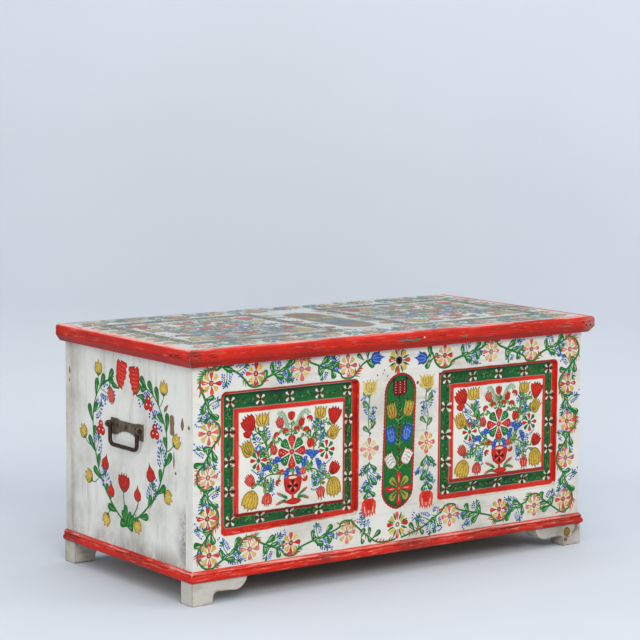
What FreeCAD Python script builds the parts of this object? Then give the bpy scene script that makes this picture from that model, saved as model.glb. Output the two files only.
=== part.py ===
"""Painted wedding chest, millimetres. +X runs right along the front, +Y to the back, +Z up.

The origin lies on the floor, in the middle of the box that the whole chest fills.
"""
import FreeCAD, Part
import Sketcher
import math
import os
import re

SIZES = {
    # carcass
    "body_width": 1150,
    "body_depth": 558,
    "wall_height": 474,
    "foot_height": 53,
    "bottom_thickness": 25,
    "front_thickness": 28,
    "back_thickness": 24,
    "end_thickness": 24,
    # front frame and its fielded panels
    "stile_width": 78,
    "top_rail_height": 83,
    "bottom_rail_height": 77,
    "centre_stile_width": 240,
    "bevel": 9,
    "window_round": 11,
    "inner_round": 4,
    "band_width": 22,
    "panel_thickness": 10,
    "groove_depth": 10,
    "panel_play": 0.5,
    "tenon_length": 40,
    "tenon_shoulder": 16,
    "tenon_play": 0.5,
    "centre_tenon_length": 24,
    "centre_tenon_width": 120,
    # lid
    "lid_thickness": 24,
    "lid_rest_gap": 0.3,
    "lid_side_gap": 5,
    "lid_back_overhang": 6,
    "lid_moulding_thickness": 18,
    "lid_moulding_drop": 16,
    "lid_moulding_round": 8,
    "lid_moulding_edge": 7,
    "lid_moulding_undercut": 15,
    "batten_width": 60,
    "batten_thickness": 18,
    "batten_inset": 245,
    "batten_wall_gap": 14,
    # plinth moulding
    "plinth_edge": 7.5,
    "plinth_round_height": 13,
    "plinth_round_radius": 9,
    "plinth_groove_height": 14.5,
    "plinth_neck": 5.5,
    "plinth_bead_top": 21.5,
    "plinth_bead_radius": 4.5,
    "plinth_lip": 1.5,
    # feet
    "foot_lip": 4,
    "foot_depth": 46,
    "foot_base_depth": 42,
    "foot_base_width": 54,
    "foot_neck_width": 56,
    "foot_neck_height": 15,
    "foot_cove_radius": 12,
    "foot_nose_length": 44,
    "foot_wing_height": 26,
    "foot_wing_width": 148,
    "foot_nose_radius": 34,
    "foot_hollow_radius": 34,
    "dowel_radius": 8,
    "dowel_depth": 18,
    "dowel_side_inset": 28,
    "dowel_front_inset": 20,
    # till
    "till_width": 150,
    "till_depth": 120,
    "till_thickness": 12,
    "till_top_drop": 22,
    # strap hinges
    "hinge_inset": 175,
    "strap_width": 34,
    "strap_thickness": 3,
    "strap_tip_radius": 22,
    "strap_tip_length": 22,
    "lid_strap_length": 230,
    "back_strap_length": 170,
    "knuckle_radius": 6,
    "knuckle_length": 14,
    "knuckle_wall_gap": 0.5,
    "knuckle_side_gap": 0.5,
    "knuckle_notch_gap": 1,
    "pin_radius": 3,
    "pin_head_radius": 4.5,
    "pin_head_length": 2.5,
    "running_gap": 0.05,
    # forged nails
    "nail_radius": 1.6,
    "nail_head_radius": 5,
    "nail_crown_radius": 2.5,
    "nail_head_height": 2,
    "nail_length": 16,
    "back_nail_length": 40,
    "back_nail_edge": 40,
    # lock
    "keyhole_drop": 44,
    "keyhole_radius": 5.5,
    "keyhole_slot_width": 5,
    "keyhole_slot_length": 12,
    "lock_plate_width": 176,
    "lock_plate_height": 92,
    "lock_top_drop": 5,
    "lock_sheet": 2.5,
    "lock_cover_inset": 18,
    "lock_cover_depth": 22,
    "lock_cover_margin": 6,
    "lock_guide_thickness": 3,
    "lock_guide_margin": 4,
    "lock_guide_offset": 11,
    "lock_slide_gap": 0.3,
    "bolt_drop": 16,
    "bolt_height": 8,
    "bolt_thickness": 6,
    "bolt_end_gap": 2.5,
    "bolt_travel": 14,
    "staple_plate_width": 60,
    "staple_plate_depth": 20,
    "staple_plate_thickness": 3,
    "staple_nail_inset": 10,
    "staple_thickness": 7,
    "staple_depth": 16,
    "staple_drop": 27,
    "staple_play": 1.5,
    "staple_slot_gap": 3,
    # carrying handles
    "handle_drop": 186,
    "handle_plate_length": 140,
    "handle_plate_above": 14,
    "handle_plate_below": 24,
    "handle_plate_waist": 11,
    "handle_plate_lug": 24,
    "handle_plate_shoulder": 14,
    "handle_plate_thickness": 3,
    "handle_arch_radius": 90,
    "handle_standoff": 12,
    "ear_thickness": 4,
    "ear_radius": 8,
    "bail_radius": 4.8,
    "bail_ear_gap": 2.2,
    "bail_drop": 46,
    "bail_corner_radius": 14,
    "bail_pivot_radius": 3.4,
    "bail_knob_radius": 5.5,
    "bail_knob_length": 4,
    "bail_knob_gap": 0.1,
    # overrun that carries every cut clear of the piece
    "overrun": 5,
}
# Places along a piece, as shares of its length
LOCK_NAIL_SHARES = (0.15, 0.7)
BACK_STRAP_NAIL_SHARES = (0.25, 0.52, 0.8)
LID_STRAP_NAIL_SHARES = (0.22, 0.55, 0.88)
BATTEN_NAIL_SHARES = (0.1, 0.5, 0.9)
BOARD_ROWS = ("front", "middle", "back")
SIDES = {"left": -1, "right": 1}

doc = FreeCAD.newDocument("wedding_chest")
sheet = doc.addObject("Spreadsheet::Sheet", "sizes")
for row, (alias, amount) in enumerate(SIZES.items(), start=1):
    sheet.set(f"A{row}", alias)
    sheet.set(f"B{row}", str(amount))
    sheet.setAlias(f"B{row}", alias)
doc.recompute()

# Places that several pieces share, as formulas of the sizes
HALF_WIDTH = "(body_width / 2)"
END_INSIDE = f"({HALF_WIDTH} - end_thickness)"
TOTAL_DEPTH = ("(lid_side_gap + lid_moulding_thickness + body_depth"
               " + knuckle_wall_gap + 2 * knuckle_radius)")
FRONT = f"(-{TOTAL_DEPTH} / 2 + lid_side_gap + lid_moulding_thickness)"
FRONT_INSIDE = f"({FRONT} + front_thickness)"
BACK = f"({FRONT} + body_depth)"
BACK_INSIDE = f"({BACK} - back_thickness)"
BASE_TOP = "(foot_height + bottom_thickness)"
WALL_TOP = f"({BASE_TOP} + wall_height)"
LID_UNDER = f"({WALL_TOP} + lid_rest_gap)"
LID_TOP = f"({LID_UNDER} + lid_thickness)"
LID_FRONT = f"({FRONT} - lid_side_gap)"
LID_BACK = f"({BACK} + lid_back_overhang)"
LID_SIDE = f"({HALF_WIDTH} + lid_side_gap)"
WINDOW_LOW = f"({BASE_TOP} + bottom_rail_height)"
WINDOW_HIGH = f"({WALL_TOP} - top_rail_height)"
WINDOW_INNER = "(centre_stile_width / 2)"
WINDOW_OUTER = f"({HALF_WIDTH} - stile_width)"
GROOVE_FRONT = f"({FRONT} + bevel)"
GROOVE_BACK = f"({GROOVE_FRONT} + panel_thickness)"
HINGE_Y = f"({BACK} + knuckle_wall_gap + knuckle_radius)"
HINGE_Z = f"({LID_UNDER} - strap_thickness / 2)"
LOCK_TOP = f"({WALL_TOP} - lock_top_drop)"
LOCK_BOTTOM = f"({LOCK_TOP} - lock_plate_height)"
LOCK_FACE = f"({FRONT_INSIDE} + lock_sheet)"
KEYHOLE_Z = f"({WALL_TOP} - keyhole_drop)"
BOLT_Z = f"({LOCK_TOP} - bolt_drop)"
BOLT_Y = f"({FRONT_INSIDE} + lock_cover_depth / 2)"
COVER_WIDTH = "(lock_plate_width - 2 * lock_cover_inset)"
BOLT_START = "(staple_thickness / 2 + staple_play)"
BOLT_END = f"({COVER_WIDTH} / 2 - lock_sheet - bolt_end_gap)"
HANDLE_Z = f"({WALL_TOP} - handle_drop)"
BAIL_SPAN = "(handle_plate_length - 2 * (ear_thickness + bail_ear_gap + bail_radius))"
FRAME_Y = (FRONT, FRONT_INSIDE)
TENON_Y = (GROOVE_FRONT, GROOVE_BACK)
INSIDE_Y = (FRONT_INSIDE, BACK_INSIDE)
RAILS = {"top": (WINDOW_HIGH, WALL_TOP), "bottom": (BASE_TOP, WINDOW_LOW)}

# Turns that lead a shape's own Z axis along another axis
TURNS = {
    "+X": FreeCAD.Rotation(FreeCAD.Vector(0, 1, 0), 90),
    "-X": FreeCAD.Rotation(FreeCAD.Vector(0, 1, 0), -90),
    "+Y": FreeCAD.Rotation(FreeCAD.Vector(1, 0, 0), -90),
    "-Y": FreeCAD.Rotation(FreeCAD.Vector(1, 0, 0), 90),
    "+Z": FreeCAD.Rotation(),
    "-Z": FreeCAD.Rotation(FreeCAD.Vector(1, 0, 0), 180),
}
pieces = []


def formula(text):
    """The same formula with each size read from its cell of the sheet."""
    return re.sub(r"[a-z][a-z_]*", lambda word: f"sizes.{word[0]}" if word[0] in SIZES else word[0], str(text))


def value(text):
    return float(sheet.evalExpression(formula(text)))


def bind(thing, name, text):
    thing.setExpression(name, formula(text))


def place(thing, spot, turn=TURNS["+Z"]):
    thing.Placement = FreeCAD.Placement(FreeCAD.Vector(), turn)
    for letter, text in zip("xyz", spot):
        bind(thing, f"Placement.Base.{letter}", text)


def around(centre, width):
    """The two planes at half a width either side of a centre."""
    return (f"({centre} - {width} / 2)", f"({centre} + {width} / 2)")


def ordered(side, near, far):
    """Two planes in rising order, given outward from the middle on one side."""
    return (near, far) if side > 0 else (far, near)


def box(name, x, y, z):
    """A block between two planes along each axis."""
    block = doc.addObject("Part::Box", name)
    for side, (low, high) in zip(("Length", "Width", "Height"), (x, y, z)):
        bind(block, side, f"{high} - {low}")
    place(block, (x[0], y[0], z[0]))
    return block


def rod(name, radius, length, spot, heading):
    """A round bar that starts at a spot and runs along a heading."""
    bar = doc.addObject("Part::Cylinder", name)
    bind(bar, "Radius", radius)
    bind(bar, "Height", length)
    place(bar, spot, TURNS[heading])
    return bar


def fuse(name, parts):
    joined = doc.addObject("Part::MultiFuse", name)
    joined.Shapes = parts
    joined.Refine = True
    return joined


def cut(name, base, *tools):
    """The base less its tools."""
    tool = tools[0] if len(tools) == 1 else fuse(f"{name}_cutters", list(tools))
    rest = doc.addObject("Part::Cut", name)
    rest.Base = base
    rest.Tool = tool
    rest.Refine = True
    return rest


def group(name, solids):
    together = doc.addObject("Part::Compound", name)
    together.Links = solids
    return together


def piece(thing, node):
    thing.Label = node
    pieces.append(thing)
    return thing


def arc_middle(start, end, radius, turn):
    """The middle of the short arc; turn 1 runs it counter-clockwise, -1 clockwise."""
    chord = end - start
    rise = radius - math.sqrt(radius ** 2 - (chord.Length / 2) ** 2)
    left = FreeCAD.Vector(-chord.y, chord.x, 0).normalize()
    return (start + end) * 0.5 - left * rise * turn


def draw(sketch, points):
    """Draws one closed outline. A point with a radius and a turn starts an arc to the next."""
    first = sketch.GeometryCount
    spots = [FreeCAD.Vector(value(point[0]), value(point[1]), 0) for point in points]
    heads = []
    for index, point in enumerate(points):
        start = spots[index]
        end = spots[(index + 1) % len(points)]
        if len(point) == 2:
            line = Part.LineSegment(start, end)
        else:
            line = Part.Arc(start, arc_middle(start, end, value(point[2]), point[3]), end)
        sketch.addGeometry(line, False)
        heads.append(1 if len(point) == 2 or point[3] > 0 else 2)
    for index, point in enumerate(points):
        edge = first + index
        following = (index + 1) % len(points)
        joint = Sketcher.Constraint("Coincident", edge, 3 - heads[index], first + following, heads[following])
        sketch.addConstraint(joint)
        places = (("DistanceX", spots[index].x, point[0]), ("DistanceY", spots[index].y, point[1]))
        for kind, spot, text in places:
            number = sketch.addConstraint(Sketcher.Constraint(kind, -1, 1, edge, heads[index], spot))
            bind(sketch, f"Constraints[{number}]", text)
        if len(point) > 2:
            number = sketch.addConstraint(Sketcher.Constraint("Radius", edge, value(point[2])))
            bind(sketch, f"Constraints[{number}]", point[2])


def sketch_on(body, name, role, outlines, offset):
    """A sketch on one of the body's own planes, moved along the plane's normal."""
    sketch = body.newObject("Sketcher::SketchObject", name)
    plane = next(feature for feature in body.Origin.OriginFeatures if feature.Role == role)
    sketch.AttachmentSupport = [(plane, "")]
    sketch.MapMode = "FlatFace"
    bind(sketch, "AttachmentOffset.Base.z", f"-{offset}" if role == "XZ_Plane" else offset)
    for points in outlines:
        draw(sketch, points)
    return sketch


def pad(name, role, points, near, far):
    """A body whose outline runs from the near plane to the far one."""
    body = doc.addObject("PartDesign::Body", name)
    sketch = sketch_on(body, f"{name}_outline", role, [points], near)
    feature = body.newObject("PartDesign::Pad", f"{name}_pad")
    feature.Profile = sketch
    feature.Reversed = role == "XZ_Plane"
    bind(feature, "Length", f"{far} - {near}")
    return body


def pocket(body, name, role, outlines, near, far):
    """Cuts the outlines out of a body, from the near plane to the far one."""
    doc.recompute()
    before = body.Shape.Volume
    sketch = sketch_on(body, f"{name}_outline", role, outlines, near)
    feature = body.newObject("PartDesign::Pocket", name)
    feature.Profile = sketch
    feature.Reversed = role != "XZ_Plane"
    bind(feature, "Length", f"{far} - {near}")
    doc.recompute()
    if not body.Shape.Volume < before:
        raise RuntimeError(f"{name} cuts nothing")


def nails(name, spots, heading, length="nail_length"):
    """Crowned nails and the holes they are driven into; heading is the way the heads point."""
    into = {"+": "-", "-": "+"}[heading[0]] + heading[1]
    solids = []
    holes = []
    for number, spot in enumerate(spots, start=1):
        head = doc.addObject("Part::Cone", f"{name}_head_{number}")
        bind(head, "Radius1", "nail_head_radius")
        bind(head, "Radius2", "nail_crown_radius")
        bind(head, "Height", "nail_head_height")
        place(head, spot, TURNS[heading])
        shank = rod(f"{name}_shank_{number}", "nail_radius", length, spot, into)
        solids.append(fuse(f"{name}_{number}", [head, shank]))
        hole_length = f"{length} + running_gap"
        holes.append(rod(f"{name}_hole_{number}", "nail_radius + running_gap", hole_length, spot, into))
    return solids, holes


# Front frame: five members, grooved for two fielded panels
def rounded(low_x, high_x, low_z, high_z, radius):
    """A rectangle with round corners."""
    return [(f"{low_x} + {radius}", low_z), (f"{high_x} - {radius}", low_z, radius, 1),
            (high_x, f"{low_z} + {radius}"), (high_x, f"{high_z} - {radius}", radius, 1),
            (f"{high_x} - {radius}", high_z), (f"{low_x} + {radius}", high_z, radius, 1),
            (low_x, f"{high_z} - {radius}"), (low_x, f"{low_z} + {radius}", radius, 1)]


def facing_sketch(name, points, y):
    """A sketch that faces the front, at a depth."""
    sketch = doc.addObject("Sketcher::SketchObject", name)
    place(sketch, (0, y, 0), TURNS["-Y"])
    draw(sketch, points)
    return sketch


def window(name, low_x, high_x):
    """The cutter of one panel's opening: flared mouth, straight throat and panel groove."""
    x = (f"({low_x} + bevel)", f"({high_x} - bevel)")
    z = (f"({WINDOW_LOW} + bevel)", f"({WINDOW_HIGH} - bevel)")
    outline = rounded(low_x, high_x, WINDOW_LOW, WINDOW_HIGH, "window_round")
    mouth = facing_sketch(f"{name}_mouth", outline, FRONT)
    foot_of_bevel = facing_sketch(f"{name}_foot", rounded(*x, *z, "inner_round"), GROOVE_FRONT)
    flare = doc.addObject("Part::Loft", f"{name}_flare")
    flare.Sections = [mouth, foot_of_bevel]
    flare.Solid = True
    flare.Ruled = True
    throat = box(f"{name}_throat", x, (GROOVE_FRONT, f"({FRONT_INSIDE} + overrun)"), z)
    wide = [(f"({low} - groove_depth)", f"({high} + groove_depth)") for low, high in (x, z)]
    groove = box(f"{name}_groove", wide[0], TENON_Y, wide[1])
    return fuse(name, [flare, throat, groove])


def panel(node, low_x, high_x):
    """A panel whose thin edges sit in the groove and whose field stands up to the frame's face."""
    edge = "(bevel - groove_depth + panel_play)"
    plate = box(f"{node}_plate", (f"({low_x} + {edge})", f"({high_x} - {edge})"), TENON_Y,
                (f"({WINDOW_LOW} + {edge})", f"({WINDOW_HIGH} - {edge})"))
    field = doc.addObject("Part::Wedge", f"{node}_field")
    for axis, low, high in (("X", low_x, high_x), ("Z", WINDOW_LOW, WINDOW_HIGH)):
        bind(field, f"{axis}2min", f"{low} + bevel + band_width")
        bind(field, f"{axis}min", f"{low} + 2 * bevel + band_width")
        bind(field, f"{axis}2max", f"{high} - bevel - band_width")
        bind(field, f"{axis}max", f"{high} - 2 * bevel - band_width")
    bind(field, "Ymin", FRONT)
    bind(field, "Ymax", GROOVE_FRONT)
    piece(fuse(f"{node}_whole", [plate, field]), node)


def rail_tenon(name, side, low, high, length):
    """A tenon on a rail's end, or the mortise it fits, by its length."""
    span = ordered(side, f"({side} * {WINDOW_OUTER})", f"({side} * ({WINDOW_OUTER} + {length}))")
    return box(name, span, TENON_Y, (f"({low} + tenon_shoulder)", f"({high} - tenon_shoulder)"))


def centre_tenon(name, end, length):
    """A tenon on the centre stile's end, or the mortise it fits, by its length."""
    height = {"top": (WINDOW_HIGH, f"({WINDOW_HIGH} + {length})"),
              "bottom": (f"({WINDOW_LOW} - {length})", WINDOW_LOW)}[end]
    return box(name, around("0", "centre_tenon_width"), TENON_Y, height)


def rail(end, *extra):
    """A rail with a tenon at each end, mortised for the centre stile."""
    blank = box(f"{end}_rail_blank", around("0", f"(2 * {WINDOW_OUTER})"), FRAME_Y, RAILS[end])
    tenons = [rail_tenon(f"{end}_rail_{word}_tenon", side, *RAILS[end], "tenon_length")
              for word, side in SIDES.items()]
    mortise = centre_tenon(f"{end}_rail_mortise", end, "(centre_tenon_length + tenon_play)")
    whole = fuse(f"{end}_rail_whole", [blank, *tenons])
    piece(cut(f"{end}_rail", whole, *windows.values(), mortise, *extra), f"front_{end}_rail")


def stile(word, side):
    """An outer stile, mortised for both rails."""
    outer = ordered(side, f"({side} * {WINDOW_OUTER})", f"({side} * {HALF_WIDTH})")
    blank = box(f"{word}_stile_blank", outer, FRAME_Y, (BASE_TOP, WALL_TOP))
    mortises = [rail_tenon(f"{word}_{end}_mortise", side, low, high, "(tenon_length + tenon_play)")
                for end, (low, high) in RAILS.items()]
    piece(cut(f"{word}_stile", blank, windows[word], *mortises), f"front_{word}_stile")


PANELS_X = {"left": (f"(-{WINDOW_OUTER})", f"(-{WINDOW_INNER})"), "right": (WINDOW_INNER, WINDOW_OUTER)}
windows = {word: window(f"{word}_window", *planes) for word, planes in PANELS_X.items()}
for word, side in SIDES.items():
    stile(word, side)
    panel(f"front_{word}_panel", *PANELS_X[word])
centre_blank = box("centre_stile_blank", around("0", "centre_stile_width"), FRAME_Y, (WINDOW_LOW, WINDOW_HIGH))
centre_tenons = [centre_tenon(f"centre_{end}_tenon", end, "centre_tenon_length") for end in RAILS]
centre_whole = fuse("centre_stile_whole", [centre_blank, *centre_tenons])
piece(cut("centre_stile", centre_whole, *windows.values()), "front_centre_stile")

# Lock: plate with bolt guides, cover and sliding bolt behind the top rail
keyhole_reach = "(front_thickness + lock_sheet + 2 * overrun)"
keyhole_start = f"({FRONT} - overrun)"
keyhole_round = rod("keyhole_round", "keyhole_radius", keyhole_reach, (0, keyhole_start, KEYHOLE_Z), "+Y")
keyhole_slot = box("keyhole_slot", around("0", "keyhole_slot_width"),
                   (keyhole_start, f"({keyhole_start} + {keyhole_reach})"),
                   (f"({KEYHOLE_Z} - keyhole_slot_length)", KEYHOLE_Z))
keyhole = fuse("keyhole", [keyhole_round, keyhole_slot])


def lock_plate(holes):
    """The plate on the rail's back, with two guides that the bolt runs through."""
    blank = box("lock_plate_blank", around("0", "lock_plate_width"), (FRONT_INSIDE, LOCK_FACE),
                (LOCK_BOTTOM, LOCK_TOP))
    first = f"({BOLT_START} + lock_guide_offset)"
    second = f"({BOLT_END} - bolt_travel - lock_guide_margin - lock_guide_thickness)"
    guide_y = (FRONT_INSIDE, f"({FRONT_INSIDE} + lock_cover_depth - lock_sheet)")
    guides = [box(f"lock_guide_{number}", (left, f"({left} + lock_guide_thickness)"), guide_y,
                  around(BOLT_Z, "(2 * bolt_height)")) for number, left in enumerate((first, second), start=1)]
    way = box("bolt_way", ("0", BOLT_END),
              around(BOLT_Y, "(bolt_thickness + 2 * lock_slide_gap)"),
              around(BOLT_Z, "(bolt_height + 2 * lock_slide_gap)"))
    piece(cut("lock_back", fuse("lock_plate_whole", [blank, *guides]), way, keyhole, *holes), "lock_plate")


def lock_cover():
    """A shallow box over the bolt, open to the plate and slotted on top for the staple."""
    low = f"({LOCK_BOTTOM} + lock_cover_margin)"
    back = f"({FRONT_INSIDE} + lock_cover_depth)"
    blank = box("lock_cover_blank", around("0", COVER_WIDTH), (LOCK_FACE, back), (low, LOCK_TOP))
    hollow = box("lock_cover_hollow", around("0", f"({COVER_WIDTH} - 2 * lock_sheet)"),
                 (f"({LOCK_FACE} - overrun)", f"({back} - lock_sheet)"),
                 (f"({low} + lock_sheet)", f"({LOCK_TOP} - lock_sheet)"))
    slot = box("staple_slot", around("0", "(staple_thickness + 2 * staple_play)"),
               around(BOLT_Y, "(staple_depth + 2 * staple_slot_gap)"),
               (f"({LOCK_TOP} - lock_sheet - overrun)", f"({LOCK_TOP} + overrun)"))
    piece(cut("lock_casing", blank, hollow, slot), "lock_cover")


def lock_staple():
    """The plate and tongue that hang from the lid; returns the holes of its nails."""
    under = f"({LID_UNDER} - staple_plate_thickness)"
    plate = box("staple_plate", around("0", "staple_plate_width"), around(BOLT_Y, "staple_plate_depth"),
                (under, LID_UNDER))
    tongue = box("staple_tongue", around("0", "staple_thickness"), around(BOLT_Y, "staple_depth"),
                 (f"({under} - staple_drop)", under))
    eye = box("staple_eye", around("0", "(staple_thickness + 2 * overrun)"),
              around(BOLT_Y, "(bolt_thickness + 2 * staple_play)"),
              around(BOLT_Z, "(bolt_height + 2 * staple_play)"))
    nail_x = "(staple_plate_width / 2 - staple_nail_inset)"
    spots = [(f"({side} * {nail_x})", BOLT_Y, under) for side in SIDES.values()]
    made, holes = nails("staple_nail", spots, "-Z")
    piece(group("staple_nail_group", made), "staple_nails")
    piece(cut("staple", fuse("staple_whole", [plate, tongue]), eye, *holes), "lid_staple")
    return holes


lock_spots = [(f"({side} * (lock_plate_width - lock_cover_inset) / 2)", LOCK_FACE,
               f"({LOCK_TOP} - {share} * lock_plate_height)")
              for side in SIDES.values() for share in LOCK_NAIL_SHARES]
lock_nails, lock_holes = nails("lock_nail", lock_spots, "+Y")
piece(group("lock_nail_group", lock_nails), "lock_nails")
lock_plate(lock_holes)
lock_cover()
piece(box("bolt", (BOLT_START, BOLT_END), around(BOLT_Y, "bolt_thickness"),
          around(BOLT_Z, "bolt_height")), "lock_bolt")
staple_holes = lock_staple()
rail("top", keyhole, *lock_holes)
rail("bottom")

# Strap hinges: one strap down the back, one under the lid, a pin through both
hinge_nails = {"back": [], "lid": []}
hinge_holes = {"back": [], "lid": []}
lid_notches = []
strap_seats = []


def strap(name, role, centre, root, tip, near, far):
    """A flat strap that tapers to a point at its tip."""
    low_x, high_x = around(centre, "strap_width")
    shoulder = f"({tip} + strap_tip_length)"
    outline = [(low_x, root), (low_x, shoulder, "strap_tip_radius", 1), (centre, tip, "strap_tip_radius", 1),
               (high_x, shoulder), (high_x, root)]
    return pad(name, role, outline, near, far)


def back_strap(word, centre, knuckle, bore):
    low_x, high_x = around(centre, "strap_width")
    face = f"({BACK} + strap_thickness)"
    tip = f"({HINGE_Z} - back_strap_length)"
    blank = strap(f"{word}_back_strap", "XZ_Plane", centre, HINGE_Z, tip, BACK, face)
    barrel_start = (knuckle[0], HINGE_Y, HINGE_Z)
    barrel = rod(f"{word}_back_barrel", "knuckle_radius", "knuckle_length", barrel_start, "+X")
    room_y = (f"({BACK} - overrun)", f"({HINGE_Y} + knuckle_radius + overrun)")
    spans = ((f"({low_x} - overrun)", knuckle[0]), (knuckle[1], f"({high_x} + overrun)"))
    rooms = [box(f"{word}_knuckle_room_{number}", span, room_y,
                 around(HINGE_Z, "(2 * (knuckle_radius + knuckle_side_gap))")) for number, span in enumerate(spans)]
    spots = [(centre, face, f"({HINGE_Z} - {share} * back_strap_length)") for share in BACK_STRAP_NAIL_SHARES]
    made, holes = nails(f"{word}_back_strap_nail", spots, "+Y")
    hinge_nails["back"] += made
    hinge_holes["back"] += holes
    whole = fuse(f"{word}_back_leaf_whole", [blank, barrel])
    piece(cut(f"{word}_back_leaf", whole, bore, *rooms, *holes), f"{word}_hinge_back_strap")


def lid_strap(word, centre, knuckle, bore):
    low_x = around(centre, "strap_width")[0]
    under = f"({LID_UNDER} - strap_thickness)"
    tip = f"({HINGE_Y} - lid_strap_length)"
    blank = strap(f"{word}_lid_strap", "XY_Plane", centre, HINGE_Y, tip, under, LID_UNDER)
    barrel_length = "((strap_width - knuckle_length) / 2 - knuckle_side_gap)"
    starts = (low_x, f"({knuckle[1]} + knuckle_side_gap)")
    barrels = [rod(f"{word}_lid_barrel_{number}", "knuckle_radius", barrel_length, (x, HINGE_Y, HINGE_Z), "+X")
               for number, x in enumerate(starts)]
    gap = box(f"{word}_knuckle_gap", around(centre, "(knuckle_length + 2 * knuckle_side_gap)"),
              (f"({HINGE_Y} - knuckle_radius - knuckle_side_gap)", f"({HINGE_Y} + knuckle_radius + overrun)"),
              (f"({under} - overrun)", f"({LID_UNDER} + overrun)"))
    spots = [(centre, f"({HINGE_Y} - {share} * lid_strap_length)", under) for share in LID_STRAP_NAIL_SHARES]
    made, holes = nails(f"{word}_lid_strap_nail", spots, "-Z")
    hinge_nails["lid"] += made
    hinge_holes["lid"] += holes
    whole = fuse(f"{word}_lid_leaf_whole", [blank, *barrels])
    piece(cut(f"{word}_lid_leaf", whole, bore, gap, *holes), f"{word}_hinge_lid_strap")


def hinge_pin(word, centre):
    """A pin with a head at each end, just clear of the knuckles."""
    low_x, high_x = around(centre, "(strap_width + 2 * knuckle_side_gap)")
    shaft = rod(f"{word}_pin_shaft", "pin_radius", f"({high_x} - {low_x})", (low_x, HINGE_Y, HINGE_Z), "+X")
    heads = [rod(f"{word}_pin_head_{number}", "pin_head_radius", "pin_head_length", (x, HINGE_Y, HINGE_Z), heading)
             for number, (x, heading) in enumerate(((low_x, "-X"), (high_x, "+X")))]
    piece(fuse(f"{word}_pin", [shaft, *heads]), f"{word}_hinge_pin")


def hinge_room(word, centre):
    """The notch in the lid's back edge, and the seat of the strap on the back board's top."""
    notch_width = "(strap_width + 2 * (knuckle_side_gap + pin_head_length + knuckle_notch_gap))"
    lid_notches.append(box(f"{word}_knuckle_notch", around(centre, notch_width),
                           (f"({BACK} - knuckle_notch_gap)", f"({LID_BACK} + overrun)"),
                           (f"({LID_UNDER} - overrun)", f"({HINGE_Z} + knuckle_radius + knuckle_notch_gap)")))
    strap_seats.append(box(f"{word}_strap_seat", around(centre, "(strap_width + 2 * knuckle_notch_gap)"),
                           (f"({BACK_INSIDE} - overrun)", f"({BACK} + overrun)"),
                           (f"({LID_UNDER} - strap_thickness - knuckle_notch_gap)", f"({WALL_TOP} + overrun)")))


for word, side in SIDES.items():
    centre = f"({side} * ({HALF_WIDTH} - hinge_inset))"
    knuckle = around(centre, "knuckle_length")
    bore = rod(f"{word}_hinge_bore", "pin_radius + running_gap", "strap_width + 2 * overrun",
               (f"({centre} - strap_width / 2 - overrun)", HINGE_Y, HINGE_Z), "+X")
    back_strap(word, centre, knuckle, bore)
    lid_strap(word, centre, knuckle, bore)
    hinge_pin(word, centre)
    hinge_room(word, centre)
for part in hinge_nails:
    piece(group(f"hinge_{part}_nail_group", hinge_nails[part]), f"hinge_{part}_nails")

# Back boards, nailed to the end boards
BACK_JOINT = f"({BASE_TOP} + wall_height / 2)"
BACK_BOARDS = {"back_lower_board": (BASE_TOP, BACK_JOINT), "back_upper_board": (BACK_JOINT, WALL_TOP)}
back_spots = [(f"({side} * ({HALF_WIDTH} - end_thickness / 2))", BACK, height)
              for low, high in BACK_BOARDS.values()
              for height in (f"({low} + back_nail_edge)", f"({high} - back_nail_edge)")
              for side in SIDES.values()]
back_nails, back_holes = nails("back_nail", back_spots, "+Y", "back_nail_length")
piece(group("back_nail_group", back_nails), "back_nails")
for node, (low, high) in BACK_BOARDS.items():
    blank = box(f"{node}_blank", around("0", "body_width"), (BACK_INSIDE, BACK), (low, high))
    strap_cuts = [*strap_seats, *hinge_holes["back"]] if node == "back_upper_board" else []
    piece(cut(f"{node}_cut", blank, *back_holes, *strap_cuts), node)


# Ends: a board, and on it a plate with two ears that a hanging bail turns in
def outward(side, distance):
    """A plane at a distance out from an end board's face."""
    return f"({side} * ({HALF_WIDTH} + {distance}))"


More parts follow.
